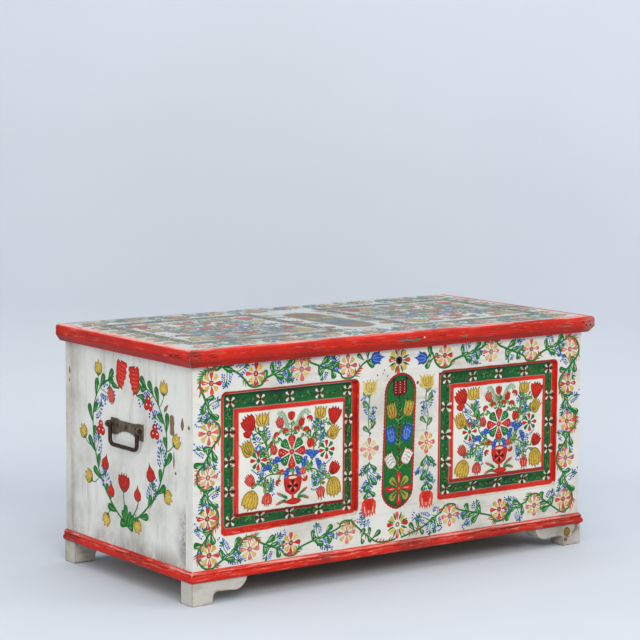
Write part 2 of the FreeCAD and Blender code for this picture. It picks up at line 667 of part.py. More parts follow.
def bail(word, side):
    """A round bar bent to a D, with a pivot and a knob through each ear."""
    x = outward(side, "handle_standoff")
    corner_z = f"({HANDLE_Z} - bail_drop + bail_corner_radius)"
    knob_start = "(handle_plate_length / 2 + bail_knob_gap)"
    solids = [rod(f"{word}_grip", "bail_radius", f"{BAIL_SPAN} - 2 * bail_corner_radius",
                  (x, f"(-{BAIL_SPAN} / 2 + bail_corner_radius)", f"({HANDLE_Z} - bail_drop)"), "+Y")]
    for end, label, heading in ((-1, "front", "-Y"), (1, "back", "+Y")):
        leg_y = f"({end} * {BAIL_SPAN} / 2)"
        leg_length = "bail_drop - bail_corner_radius"
        solids.append(rod(f"{word}_{label}_leg", "bail_radius", leg_length, (x, leg_y, corner_z), "+Z"))
        pivot_length = f"{knob_start} + bail_knob_length - {BAIL_SPAN} / 2"
        solids.append(rod(f"{word}_{label}_pivot", "bail_pivot_radius", pivot_length, (x, leg_y, HANDLE_Z), heading))
        solids.append(rod(f"{word}_{label}_knob", "bail_knob_radius", "bail_knob_length",
                          (x, f"({end} * {knob_start})", HANDLE_Z), heading))
        ball = doc.addObject("Part::Sphere", f"{word}_{label}_leg_top")
        bind(ball, "Radius", "bail_radius")
        place(ball, (x, leg_y, HANDLE_Z))
        corner = doc.addObject("Part::Torus", f"{word}_{label}_bail_corner")
        bind(corner, "Radius1", "bail_corner_radius")
        bind(corner, "Radius2", "bail_radius")
        corner.Angle3 = 90
        spin = FreeCAD.Rotation(FreeCAD.Vector(0, 0, 1), 0 if end > 0 else -90)
        corner_y = f"({end} * ({BAIL_SPAN} / 2 - bail_corner_radius))"
        place(corner, (x, corner_y, corner_z), TURNS["+X"].multiply(spin))
        solids += [ball, corner]
    piece(fuse(f"{word}_bail", solids), f"{word}_handle_bail")


def handle_plate(word, side):
    """The nailed plate; returns the holes of its nails."""
    half = "(handle_plate_length / 2)"
    lug = f"({half} - handle_plate_lug)"
    shoulder = f"({lug} - handle_plate_shoulder)"
    top = f"({HANDLE_Z} + handle_plate_above)"
    waist = f"({HANDLE_Z} + handle_plate_waist)"
    bottom = f"({HANDLE_Z} - handle_plate_below)"
    outline = [(f"(-{half})", bottom), (f"(-{lug})", bottom, "handle_arch_radius", -1), (lug, bottom),
               (half, bottom), (half, top), (lug, top), (shoulder, waist), (f"(-{shoulder})", waist),
               (f"(-{lug})", top), (f"(-{half})", top)]
    face = outward(side, "handle_plate_thickness")
    blank = pad(f"{word}_handle_plate_blank", "YZ_Plane", outline, *ordered(side, outward(side, "0"), face))
    ears = []
    bores = []
    for end, label, heading in ((-1, "front", "+Y"), (1, "back", "-Y")):
        y = f"({end} * {half})"
        span = ordered(end, f"({end} * ({half} - ear_thickness))", y)
        axis_x = outward(side, "handle_standoff")
        ears.append(box(f"{word}_{label}_ear_web", ordered(side, outward(side, "0"), axis_x), span,
                        around(HANDLE_Z, "(2 * ear_radius)")))
        spot = (axis_x, y, HANDLE_Z)
        ears.append(rod(f"{word}_{label}_ear_round", "ear_radius", "ear_thickness", spot, heading))
        bore_start = (axis_x, f"({end} * ({half} + overrun))", HANDLE_Z)
        bores.append(rod(f"{word}_{label}_ear_bore", "bail_pivot_radius + running_gap",
                         "ear_thickness + 2 * overrun", bore_start, heading))
    nail_y = f"({lug} - handle_plate_shoulder / 2)"
    spots = [(face, f"({step} * {nail_y})", HANDLE_Z) for step in (-1, 0, 1)]
    made, holes = nails(f"{word}_handle_nail", spots, "-X" if side < 0 else "+X")
    piece(group(f"{word}_handle_nail_group", made), f"{word}_handle_nails")
    whole = fuse(f"{word}_plate_whole", [blank, *ears])
    piece(cut(f"{word}_plate", whole, *bores, *holes), f"{word}_handle_plate")
    return holes


for word, side in SIDES.items():
    bail(word, side)
    holes = handle_plate(word, side)
    planes = ordered(side, f"({side} * {END_INSIDE})", f"({side} * {HALF_WIDTH})")
    board = box(f"{word}_end_blank", planes, INSIDE_Y, (BASE_TOP, WALL_TOP))
    piece(cut(f"{word}_end", board, *holes, *back_holes), f"{word}_end_board")

# Bottom boards, feet and the dowels that join them
dowels = []
dowel_holes = []


def inboard(side, distance):
    """A plane at a distance in from a foot's outer end."""
    return f"({side} * ({HALF_WIDTH} + foot_lip - {distance}))"


def foot(node, side, y_outer, inward):
    """A bracket foot: a wing along the front or back, and a hollow on its inner face."""
    cove = (inboard(side, "foot_neck_width"), "foot_neck_height", "foot_cove_radius", side)
    cove_end = (inboard(side, "(foot_neck_width + foot_cove_radius)"), "(foot_neck_height + foot_cove_radius)")
    nose_start = inboard(side, "(foot_wing_width - foot_nose_length)")
    nose = (nose_start, "foot_wing_height", "foot_nose_radius", -side)
    outline = [(inboard(side, "0"), "0"), (inboard(side, "foot_base_width"), "0"), cove, cove_end, nose,
               (inboard(side, "foot_wing_width"), "foot_height"), (inboard(side, "0"), "foot_height")]
    y_inner = f"({y_outer} + {inward} * foot_depth)"
    body = pad(f"{node}_blank", "XZ_Plane", outline, *ordered(inward, y_outer, y_inner))
    y_base = f"({y_outer} + {inward} * foot_base_depth)"
    y_far = f"({y_inner} + {inward} * overrun)"
    hollow = [(y_inner, "foot_height", "foot_hollow_radius", -inward), (y_base, "0"), (y_far, "0"),
              (y_far, "foot_height")]
    reach = ordered(side, inboard(side, "(foot_wing_width + overrun)"), inboard(side, "(-overrun)"))
    pocket(body, f"{node}_hollow", "YZ_Plane", [hollow], *reach)
    dowel_y = f"({y_outer} + {inward} * dowel_front_inset)"
    spot = (inboard(side, "dowel_side_inset"), dowel_y, "(foot_height - dowel_depth)")
    dowels.append(rod(f"{node}_dowel", "dowel_radius", "2 * dowel_depth", spot, "+Z"))
    dowel_holes.append(rod(f"{node}_dowel_hole", "dowel_radius + running_gap", "2 * dowel_depth", spot, "+Z"))
    piece(cut(f"{node}_cut", body, dowel_holes[-1]), node)


for word, side in SIDES.items():
    foot(f"front_{word}_foot", side, f"({FRONT} - foot_lip)", 1)
    foot(f"back_{word}_foot", side, BACK, -1)
piece(group("foot_dowel_group", dowels), "foot_dowels")
for number, word in enumerate(BOARD_ROWS):
    planes = (f"({FRONT} + {number} * body_depth / {len(BOARD_ROWS)})",
              f"({FRONT} + {number + 1} * body_depth / {len(BOARD_ROWS)})")
    blank = box(f"bottom_{word}_blank", around("0", "body_width"), planes, ("foot_height", BASE_TOP))
    piece(blank if word == "middle" else cut(f"bottom_{word}", blank, *dowel_holes), f"bottom_{word}_board")


# Mouldings, mitred at the two front corners
def moulding(node, run, profile, half_length, y_front, y_back, reach):
    """A run of moulding. Each profile point is a distance outward and a height."""
    y_outer = f"({y_front} - {reach} - overrun)"
    if run == "front":
        outline = [(f"({y_front} - ({out}))", height, *arc) for out, height, *arc in profile]
        outline = [(*point[:3], -point[3]) if len(point) > 2 else point for point in outline]
        body = pad(f"{node}_run", "YZ_Plane", outline, *around("0", f"(2 * ({half_length} + {reach}))"))
        far = f"({half_length} + {reach} + overrun)"
        mitres = [[(f"({side} * {half_length})", y_front), (f"({side} * {far})", y_outer),
                   (f"({side} * {far})", y_front)] for side in SIDES.values()]
    else:
        side = SIDES[run]
        outline = [(f"({side} * ({half_length} + {out}))", height, *arc) for out, height, *arc in profile]
        outline = [(*point[:3], side * point[3]) if len(point) > 2 else point for point in outline]
        body = pad(f"{node}_run", "XZ_Plane", outline, f"({y_front} - {reach})", y_back)
        near = f"({side} * {half_length})"
        mitres = [[(near, y_front), (f"({side} * ({half_length} + {reach} + overrun))", y_outer), (near, y_outer)]]
    pocket(body, f"{node}_mitre", "XY_Plane", mitres, "0", f"({LID_TOP} + overrun)")
    piece(body, node)


lid_low = f"({LID_UNDER} - lid_moulding_drop)"
LID_PROFILE = [("0", lid_low), ("lid_moulding_edge", lid_low),
               ("lid_moulding_thickness", f"({lid_low} + lid_moulding_undercut)"),
               ("lid_moulding_thickness", f"({LID_TOP} - lid_moulding_round)", "lid_moulding_round", 1),
               ("(lid_moulding_thickness - lid_moulding_round)", LID_TOP), ("0", LID_TOP)]
PLINTH_PROFILE = [("0", "foot_height"), ("plinth_edge", "foot_height", "plinth_round_radius", 1),
                  ("plinth_edge", "(foot_height + plinth_round_height)"),
                  ("plinth_neck", "(foot_height + plinth_groove_height)", "plinth_bead_radius", 1),
                  ("plinth_neck", "(foot_height + plinth_bead_top)"), ("plinth_lip", BASE_TOP), ("0", BASE_TOP)]
PLINTH_REACH = "(plinth_edge + plinth_round_radius)"
for run in ("front", *SIDES):
    moulding(f"lid_{run}_moulding", run, LID_PROFILE, LID_SIDE, LID_FRONT, LID_BACK, "lid_moulding_thickness")
    moulding(f"plinth_{run}_moulding", run, PLINTH_PROFILE, HALF_WIDTH, FRONT, BACK, PLINTH_REACH)

# Lid battens and boards
batten_nails = []
batten_holes = []
BATTEN_Y = (f"({FRONT_INSIDE} + batten_wall_gap)", f"({BACK_INSIDE} - batten_wall_gap)")
BATTEN_LOW = f"({LID_UNDER} - batten_thickness)"
for word, side in SIDES.items():
    centre = f"({side} * ({HALF_WIDTH} - batten_inset))"
    blank = box(f"{word}_batten_blank", around(centre, "batten_width"), BATTEN_Y, (BATTEN_LOW, LID_UNDER))
    spots = [(centre, f"({BATTEN_Y[0]} + {share} * ({BATTEN_Y[1]} - {BATTEN_Y[0]}))", BATTEN_LOW)
             for share in BATTEN_NAIL_SHARES]
    made, holes = nails(f"{word}_batten_nail", spots, "-Z", "(batten_thickness + nail_length)")
    batten_nails += made
    batten_holes += holes
    piece(cut(f"{word}_batten", blank, *holes), f"lid_{word}_batten")
piece(group("batten_nail_group", batten_nails), "batten_nails")
for number, word in enumerate(BOARD_ROWS):
    planes = (f"({LID_FRONT} + {number} * ({LID_BACK} - {LID_FRONT}) / {len(BOARD_ROWS)})",
              f"({LID_FRONT} + {number + 1} * ({LID_BACK} - {LID_FRONT}) / {len(BOARD_ROWS)})")
    blank = box(f"lid_{word}_blank", around("0", f"(2 * {LID_SIDE})"), planes, (LID_UNDER, LID_TOP))
    tools = [*batten_holes, *hinge_holes["lid"], *staple_holes, *(lid_notches if word == "back" else [])]
    piece(cut(f"lid_{word}", blank, *tools), f"lid_{word}_board")

# Till across the left end
till_outer = f"(-{END_INSIDE} + till_width)"
till_inner = f"({till_outer} - till_thickness)"
till_top = f"({WALL_TOP} - till_top_drop)"
till_low = f"({till_top} - till_depth)"
piece(box("till_wall", (till_inner, till_outer), INSIDE_Y, (till_low, till_top)), "till_side")
till_floor = (till_low, f"({till_low} + till_thickness)")
piece(box("till_base", (f"(-{END_INSIDE})", till_inner), INSIDE_Y, till_floor), "till_bottom")

doc.recompute()
for thing in doc.Objects:
    if {"Invalid", "Error"} & set(thing.State):
        raise RuntimeError(f"{thing.Name} failed: {thing.State}")
for thing in pieces:
    if thing.Shape.isNull() or not thing.Shape.isValid():
        raise RuntimeError(f"{thing.Label} has no valid shape")
os.makedirs("parts", exist_ok=True)
whole = FreeCAD.BoundBox()
for thing in pieces:
    thing.Shape.exportStep(f"parts/{thing.Label}.step")
    whole.add(thing.Shape.BoundBox)
ends = (whole.XMin, whole.XMax, whole.YMin, whole.YMax, whole.ZMin, whole.ZMax)
print(len(pieces), "pieces", [round(end, 2) for end in ends])
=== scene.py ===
"""The painted wedding chest: its finishes, its brushwork and the studio around it."""
import math
import random

import bpy
from mathutils import Matrix, Vector


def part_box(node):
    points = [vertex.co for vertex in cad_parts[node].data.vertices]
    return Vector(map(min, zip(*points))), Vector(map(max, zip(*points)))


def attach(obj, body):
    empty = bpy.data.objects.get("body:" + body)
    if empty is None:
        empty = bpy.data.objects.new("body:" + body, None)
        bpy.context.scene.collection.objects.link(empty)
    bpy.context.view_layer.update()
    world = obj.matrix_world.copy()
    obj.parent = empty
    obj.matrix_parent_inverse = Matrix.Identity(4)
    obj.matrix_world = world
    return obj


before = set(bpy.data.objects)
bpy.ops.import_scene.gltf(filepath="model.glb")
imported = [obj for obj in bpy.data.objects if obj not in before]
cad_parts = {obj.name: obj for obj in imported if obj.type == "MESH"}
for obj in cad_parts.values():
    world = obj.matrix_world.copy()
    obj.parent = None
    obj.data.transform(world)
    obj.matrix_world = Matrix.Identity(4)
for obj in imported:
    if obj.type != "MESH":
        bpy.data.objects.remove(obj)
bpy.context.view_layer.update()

MM = 0.001

# sizes in metres: read from the frame, and small ones as the CAD has them
FRONT_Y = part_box("front_top_rail")[0].y
BACK_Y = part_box("back_upper_board")[1].y
END_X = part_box("front_right_stile")[1].x
WALL_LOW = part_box("front_left_stile")[0].z
WALL_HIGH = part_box("front_left_stile")[1].z
WINDOW_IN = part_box("front_centre_stile")[1].x
WINDOW_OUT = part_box("front_right_stile")[0].x
WINDOW_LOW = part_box("front_bottom_rail")[1].z
WINDOW_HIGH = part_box("front_top_rail")[0].z
LID_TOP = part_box("lid_front_board")[1].z
LID_LOW, LID_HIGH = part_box("lid_front_board")[0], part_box("lid_back_board")[1]
RIM_LOW, RIM_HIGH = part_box("lid_front_moulding")
RIM_FACE_DROP = 0.0165
PLINTH_BEAD_DROP = 0.0035
RIM_MIDDLE = RIM_HIGH.z - RIM_FACE_DROP
PLINTH_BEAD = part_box("plinth_front_moulding")[1].z - PLINTH_BEAD_DROP
KEYHOLE_Z = WALL_HIGH - 0.044
MID_Y = (FRONT_Y + BACK_Y) / 2
FIELD_X = (WINDOW_IN + WINDOW_OUT) / 2
FIELD_Z = (WINDOW_LOW + WINDOW_HIGH) / 2
BEVEL = 9 * MM
BAND = 22 * MM
FIELD_INSET = 2 * BEVEL + BAND

# sizes for the brushwork, in millimetres
HALF_FRONT = END_X / MM
WALL_HEIGHT = (WALL_HIGH - WALL_LOW) / MM
HALF_END = (BACK_Y - FRONT_Y) / 2 / MM
HALF_LID = LID_HIGH.x / MM
HALF_LID_DEPTH = (LID_HIGH.y - LID_LOW.y) / 2 / MM
HALF_FIELD = (WINDOW_OUT - WINDOW_IN) / 2 / MM - FIELD_INSET / MM
HALF_FIELD_HEIGHT = (WINDOW_HIGH - WINDOW_LOW) / 2 / MM - FIELD_INSET / MM


# colours
def linear(red, green, blue):
    """A paint colour mixed in everyday 0 to 255 steps, as Blender's light values."""
    steps = [c / 255 for c in (red, green, blue)]
    return tuple(c / 12.92 if c <= 0.04045 else ((c + 0.055) / 1.055) ** 2.4 for c in steps) + (1.0,)


def blend(first, second, share):
    """A colour that lies a share of the way from the first to the second."""
    return tuple(a + (b - a) * share for a, b in zip(first, second))


PAINTS = {
    "red": (214, 40, 24), "deep red": (142, 22, 18), "salmon": (228, 96, 78), "rose": (234, 156, 140),
    "ochre": (212, 179, 70), "pale ochre": (226, 204, 122), "brown ochre": (150, 112, 34),
    "olive": (182, 166, 60),
    "leaf": (34, 126, 50), "dark leaf": (16, 72, 36), "light leaf": (106, 178, 88), "stem": (44, 78, 38),
    "bark": (88, 48, 30), "oxide": (108, 34, 26), "blue": (48, 92, 184), "deep blue": (34, 60, 138),
    "sky": (112, 152, 220), "cream": (238, 228, 206), "white": (232, 230, 222), "pale green": (178, 206, 176),
    "black": (30, 22, 20), "oval green": (24, 108, 48), "grey green": (92, 112, 100), "wound": (138, 108, 78),
    "wound rim": (92, 70, 52),
}
INK = {name: linear(*steps) for name, steps in PAINTS.items()}
GREEN = ("dark leaf", "leaf")
SPRING = ("dark leaf", "light leaf")
RED = ("deep red", "red")

# brushwork
chance = random.Random(7)
# Stroke shapes: shares of the length and of the width.
TEARDROP = ((0, 0.12), (0.22, 0.36), (0.45, 0.7), (0.66, 0.95), (0.82, 1.0), (0.94, 0.74), (1, 0.3))
LEAF = ((0, 0.12), (0.2, 0.5), (0.42, 0.9), (0.62, 1.0), (0.84, 0.7), (1, 0.16))
TICK = ((0, 0.45), (0.45, 1.0), (1, 0.2))
LOBE = ((0, 0.35), (0.2, 0.8), (0.42, 1.0), (0.66, 0.86), (0.86, 0.5), (1, 0.14))
SCAR = ((0, 0.4), (0.08, 0.85), (0.4, 1.0), (0.6, 0.8), (0.92, 0.95), (1, 0.5))
# Heights of the paint, in millimetres: its foot in the wood, its first edge, each further coat, its crown.
SINK = -0.05
FIRST_COAT = 0.10
COAT = 0.07
CROWN = 0.05
FRESH = 0.0008
FRESH_TURNS = 60


def aim(u, v, heading, along, aside=0.0):
    """The spot that lies along, and to the left of, a heading in degrees."""
    turn = math.radians(heading)
    return (u + along * math.cos(turn) - aside * math.sin(turn),
            v + along * math.sin(turn) + aside * math.cos(turn))


def heading_to(start, end):
    """The heading from one spot to another, in degrees."""
    return math.degrees(math.atan2(end[1] - start[1], end[0] - start[0]))


def midway(start, end):
    """The spot halfway between two spots."""
    return ((start[0] + end[0]) / 2, (start[1] + end[1]) / 2)


def flowing(points, steps=6):
    """A smooth line through given spots."""
    spots = [Vector(p) for p in points]
    spots = [2 * spots[0] - spots[1], *spots, 2 * spots[-1] - spots[-2]]
    line = []
    for a, b, c, d in zip(spots, spots[1:], spots[2:], spots[3:]):
        for step in range(steps):
            t = step / steps
            line.append(0.5 * (2 * b + (c - a) * t + (2 * a - 5 * b + 4 * c - d) * t * t
                               + (3 * b - a - 3 * c + d) * t ** 3))
    return [tuple(p) for p in line] + [tuple(spots[-2])]


class Brushwork:
    """Brush strokes on one flat face, in millimetres across and up from a middle spot.

    Every stroke is a thin closed hump of paint. Each coat stands a little above the one under it.
    A paint is a name, thinned with cream by this work's wash, or a name with a wash of its own."""

    def __init__(self, middle, across=(1, 0, 0), up=(0, 0, 1), out=(0, -1, 0), wash=0.0):
        self.middle, self.across, self.up, self.out = (Vector(v) for v in (middle, across, up, out))
        self.mirrored = self.across.cross(self.up).dot(self.out) < 0
        self.points, self.faces, self.tints = [], [], []
        self.strokes = 0
        self.wash = wash
        self.relief = lambda u, v: 0.0
        self.open_ground = lambda u, v: True

    def spot(self, u, v, height):
        """A place in the room, from millimetres on the face."""
        return self.middle + (self.across * u + self.up * v + self.out * (height + self.relief(u, v))) * MM

    def tint(self, paint, light):
        """A thinned paint as a colour, lighter or darker by the light."""
        name, wash = paint if isinstance(paint, tuple) else (paint, self.wash)
        colour = blend(INK[name], INK["cream"], wash)
        return tuple(min(1.0, c * light) for c in colour[:3]) + (1.0,)

    def mix(self, paints, darkest):
        """The rim, root and tip colours of a stroke, all lightened or darkened by one chance."""
        light = chance.uniform(darkest, 1.1)
        rim, root, tip = (paints,) * 3 if isinstance(paints, str) else (paints[0], paints[1], paints[-1])
        return [self.tint(paint, light) for paint in (rim, root, tip)]

    def height_of(self, coat):
        """How high a stroke's edge stands: a coat over the last coat, a hair over the last stroke."""
        self.strokes += 1
        return FIRST_COAT + COAT * coat + FRESH * (self.strokes % FRESH_TURNS)

    def face(self, corners):
        """One face, turned outwards also where the work is mirrored."""
        self.faces.append(tuple(reversed(corners)) if self.mirrored else tuple(corners))

    def ribbon(self, spine, half_widths, paints, coat=0):
        """A stroke along a line; paints are one for all, or its rim and its body, or rim, root and tip."""
        top = self.height_of(coat)
        profile = ((-1, SINK), (-1, top), (-0.45, top + CROWN), (0.45, top + CROWN), (1, top), (1, SINK))
        sides = len(profile)
        rim, root, tip = self.mix(paints, 0.86)
        first, last = len(self.points), len(spine) - 1
        for index, ((u, v), half) in enumerate(zip(spine, half_widths)):
            before, after = spine[max(0, index - 1)], spine[min(last, index + 1)]
            run, rise = after[0] - before[0], after[1] - before[1]
            length = math.hypot(run, rise) or 1.0
            body = blend(root, tip, index / last)
            for side, height in profile:
                place = (u - rise / length * side * half, v + run / length * side * half)
                self.points.append(self.spot(*place, height))
                self.tints.append(body if height > top else rim)
        for index in range(last):
            here = first + index * sides
            for j in range(sides):
                k = (j + 1) % sides
                self.face((here + j, here + sides + j, here + sides + k, here + k))
        end = first + last * sides
        self.face(range(first, first + sides))
        self.face(range(end, end + sides)[::-1])

    def patch(self, outline, middle, paints, coat=0, inner=0.7):
        """A filled shape, its outline counter-clockwise round its middle; paints are rim and body."""
        top = self.height_of(coat)
        rim, _, body = self.mix(paints, 0.88)
        first, sides = len(self.points), len(outline)
        u, v = middle
        for size, height, tint in ((1, SINK, rim), (1, top, rim), (inner, top + CROWN, body)):
            self.points += [self.spot(u + (a - u) * size, v + (b - v) * size, height) for a, b in outline]
            self.tints += [tint] * sides
        self.points.append(self.spot(u, v, top + CROWN))
        self.tints.append(body)
        self.face(range(first, first + sides)[::-1])
        for index in range(sides):
            after = (index + 1) % sides
            for low in (first, first + sides):
                high = low + sides
                self.face((low + index, low + after, high + after, high + index))
            self.face((first + 2 * sides + index, first + 2 * sides + after, first + 3 * sides))

    def blob(self, u, v, half_u, half_v, paints, coat=0, turn=0.0, sides=9):
        """A round or long dab."""
        angles = [2 * math.pi * index / sides for index in range(sides)]
        outline = [aim(u, v, turn, half_u * math.cos(a), half_v * math.sin(a)) for a in angles]
        self.patch(outline, (u, v), paints, coat, 0.55)

    def dot(self, u, v, radius, paints, coat=0, sides=7):
        """A small round dab."""
        self.blob(u, v, radius, radius, paints, coat, 0, sides)

    def dab(self, u, v, heading, start, length, width, paints, coat=0, shape=TEARDROP, bend=0.0):
        """A petal or leaf that leaves a spot in one heading."""
        spine = [aim(u, v, heading, start + length * t, bend * length * t * t) for t, _ in shape]
        self.ribbon(spine, [width / 2 * w for _, w in shape], paints, coat)

    def line(self, points, start_width, end_width, paints, coat=0, steps=6):
        """A stem through given spots, drawn out thinner or thicker."""
        spine = flowing(points, steps)
        last = len(spine) - 1
        widths = [(start_width + (end_width - start_width) * i / last) / 2 for i in range(last + 1)]
        self.ribbon(spine, widths, paints, coat)
        return spine

    def lay(self, name, body, slot, finish):
        """Makes the strokes one piece of the scene."""
        mesh = bpy.data.meshes.new(name)
        mesh.from_pydata(self.points, [], self.faces)
        pigment = mesh.attributes.new("pigment", "FLOAT_COLOR", "POINT")
        pigment.data.foreach_set("color", [c for tint in self.tints for c in tint])
        mesh.materials.append(finish)
        piece = bpy.data.objects.new(name, mesh)
        bpy.context.scene.collection.objects.link(piece)
        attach(piece, body)


# motifs
# Half outlines of flower heads, from foot to tip: shares of the length and of the width.
CUP = ((0, 0.12), (0.05, 0.34), (0.2, 0.47), (0.45, 0.5), (0.72, 0.47), (0.98, 0.5), (0.86, 0.32),
       (0.99, 0.2), (0.87, 0.1), (1.02, 0))
BELL = ((0, 0.07), (0.13, 0.28), (0.36, 0.47), (0.64, 0.52), (0.9, 0.46), (0.85, 0.3), (1.0, 0.2),
        (0.88, 0.1), (1.03, 0))
ROUND_BUD = ((0, 0.12), (0.1, 0.36), (0.34, 0.5), (0.62, 0.46), (0.92, 0.36), (0.8, 0.16), (1.1, 0))
BUD = ((0, 0.1), (0.16, 0.4), (0.42, 0.5), (0.66, 0.38), (0.98, 0.3), (0.8, 0.12), (1.1, 0))
FRINGE = ((0, 0.14), (0.06, 0.34), (0.2, 0.46), (0.5, 0.48), (0.76, 0.42), (1.0, 0.46), (0.84, 0.34),
          (1.06, 0.25), (0.86, 0.15), (1.1, 0.07), (0.9, 0))
LOTUS = ((0, 0.12), (0.1, 0.34), (0.3, 0.48), (0.5, 0.44), (0.74, 0.54), (0.68, 0.3), (0.8, 0.14), (1.08, 0))
BAG = ((0, 0.08), (0.1, 0.28), (0.3, 0.44), (0.56, 0.5), (0.84, 0.47), (0.8, 0.34), (0.95, 0.22), (0.87, 0.1),
       (1.0, 0))
HEART = ((0, 0.05), (0.15, 0.22), (0.45, 0.41), (0.72, 0.5), (0.88, 0.46), (0.84, 0.32), (0.98, 0.2),
         (0.9, 0.1), (1.0, 0))
FLAME = ((0, 0.12), (0.12, 0.4), (0.36, 0.5), (0.6, 0.44), (0.76, 0.24), (0.94, 0.08), (1.12, 0))
# For each kind of head: its half outline, and the paints of its rim, its body and its veins.
HEADS = {
    "hanging": (BAG, "brown ochre", "ochre", "brown ochre"), "crown": (HEART, "deep red", "red", "deep red"),
    "yellow": (CUP, "brown ochre", "ochre", "bark"), "pale": (CUP, "pale ochre", "ochre", "brown ochre"),
    "red": (BELL, "deep red", "red", "black"), "heart": (BELL, "deep red", "red", "deep red"),
    "lotus": (LOTUS, "deep blue", "blue", "sky"), "flame": (FLAME, "deep red", "red", "salmon"),
    "salmon": (FRINGE, "red", "salmon", "cream"), "bud": (BUD, "deep red", "red", "bark"),
    "pink": (BUD, "deep red", "salmon", "deep red"), "blue": (CUP, "deep blue", "blue", "sky"),
    "striped": (BELL, "deep red", "salmon", "deep red"), "olive": (CUP, "dark leaf", "olive", "bark"),
}
# For each kind of petal: the heading of the first one, and the mixtures that chance picks from.
PETALS = {
    "red": (90, (("salmon", "red", "salmon"), ("red", "red", "salmon"), ("deep red", "red", "red"),
                 ("rose", "salmon", "red"))),
    "ochre": (45, (("pale ochre", "ochre", "pale ochre"), ("ochre", "ochre", "ochre"),
                   ("ochre", "pale ochre", "ochre"))),
}


def cut(u, v, heading, length, width, half):
    """The whole outline of a head round its middle."""
    near = [aim(u, v, heading, length * (along - 0.5), -width * aside) for along, aside in half]
    far = [aim(u, v, heading, length * (along - 0.5), width * aside)
           for along, aside in reversed(half) if aside]
    return near + far


def curl(work, u, v, heading, size, coat):
    """A red stroke curled round a green bud."""
    turn = 1 if math.cos(math.radians(heading)) > 0 else -1
    work.dab(*aim(u, v, heading, -size * 0.3), heading, 0, size * 0.7, size * 0.3, SPRING, coat)
    spine = [aim(u, v, heading - turn * (110 - 30 * step), size * 0.36) for step in range(8)]
    widths = [size * share for share in (0.06, 0.13, 0.19, 0.22, 0.22, 0.2, 0.16, 0.1)]
    work.ribbon(spine, widths, RED, coat + 1)


def tulip(work, u, v, heading, length, width, kind, coat=3, veins=3):
    """A flower head round its middle, with brush lines from its foot and dark tips."""
    if kind == "curl":
        curl(work, u, v, heading, length, coat)
        return
    half, rim, body, vein = HEADS[kind]
    work.patch(cut(u, v, heading, length, width, half), (u, v), (rim, body), coat)
    for index in range(veins):
        side = 0 if veins == 1 else -1 + 2 * index / (veins - 1)
        spots = [aim(u, v, heading, length * along, side * aside * width)
                 for along, aside in ((-0.36, 0.1), (0, 0.28), (0.34, 0.24))]
        work.line(spots, 1.9, 1.3, vein, coat + 1, 3)
    if length <= 24 or kind == "salmon":
        return
    for along, aside in half:
        if along > 0.95:
            for side in (1, -1) if aside else (0,):
                work.dot(*aim(u, v, heading, length * (along - 0.51), side * aside * width), 1.5, vein,
                         coat + 1)


def leaf(work, u, v, heading, length, width, coat=1, bend=0.15):
    """A dark green leaf with a light stroke along one side, kept off what is painted round it."""
    while not work.open_ground(*aim(u, v, heading, length)):
        length *= 0.8
        if length < 12:
            return
    work.dab(u, v, heading, 0, length, width, GREEN, coat, TEARDROP, bend)
    side = aim(u, v, heading, length * 0.34, width * 0.14)
    work.dab(*side, heading + 6, 0, length * 0.5, width * 0.24, ("light leaf", "pale green"), coat + 1, TICK,
             bend)


def petals(work, u, v, kind, start, length, width, coat):
    """Four petals: red ones upright and level, or ochre ones between them."""
    first, mixtures = PETALS[kind]
    for index in range(4):
        heading = first + 90 * index + chance.uniform(-5, 5)
        long = length * chance.uniform(0.9, 1.08)
        paints = chance.choice(mixtures)
        work.dab(u, v, heading, start, long, width * chance.uniform(0.92, 1.08), paints, coat)
        if kind == "red" and chance.random() < 0.5:
            work.dab(u, v, heading, start + long * 0.3, long * 0.4, width * 0.26, ("rose", "cream"),
                     coat + 1, TICK)


def border_flower(work, u, v, radius):
    """Four red and four ochre petals round a small red ring."""
    petals(work, u, v, "red", radius * 0.26, radius * 0.8, radius * 0.44, 2)
    petals(work, u, v, "ochre", radius * 0.28, radius * 0.7, radius * 0.48, 1)
    work.dot(u, v, radius * 0.25, ("bark", "deep red"), 3, 11)
    work.dot(u, v, radius * 0.15, ("red", "rose"), 4, 9)
    work.dot(u, v, radius * 0.05, "bark", 5)


def twelve_petal_flower(work, u, v, radius):
    """The flower round the keyhole and the one under the oval."""
    for index in range(8):
        work.dab(u, v, 22.5 + 45 * index, radius * 0.4, radius * 0.62, radius * 0.2, GREEN, 1, TICK)
    petals(work, u, v, "red", radius * 0.34, radius * 0.72, radius * 0.36, 2)
    petals(work, u, v, "ochre", radius * 0.32, radius * 0.62, radius * 0.42, 2)


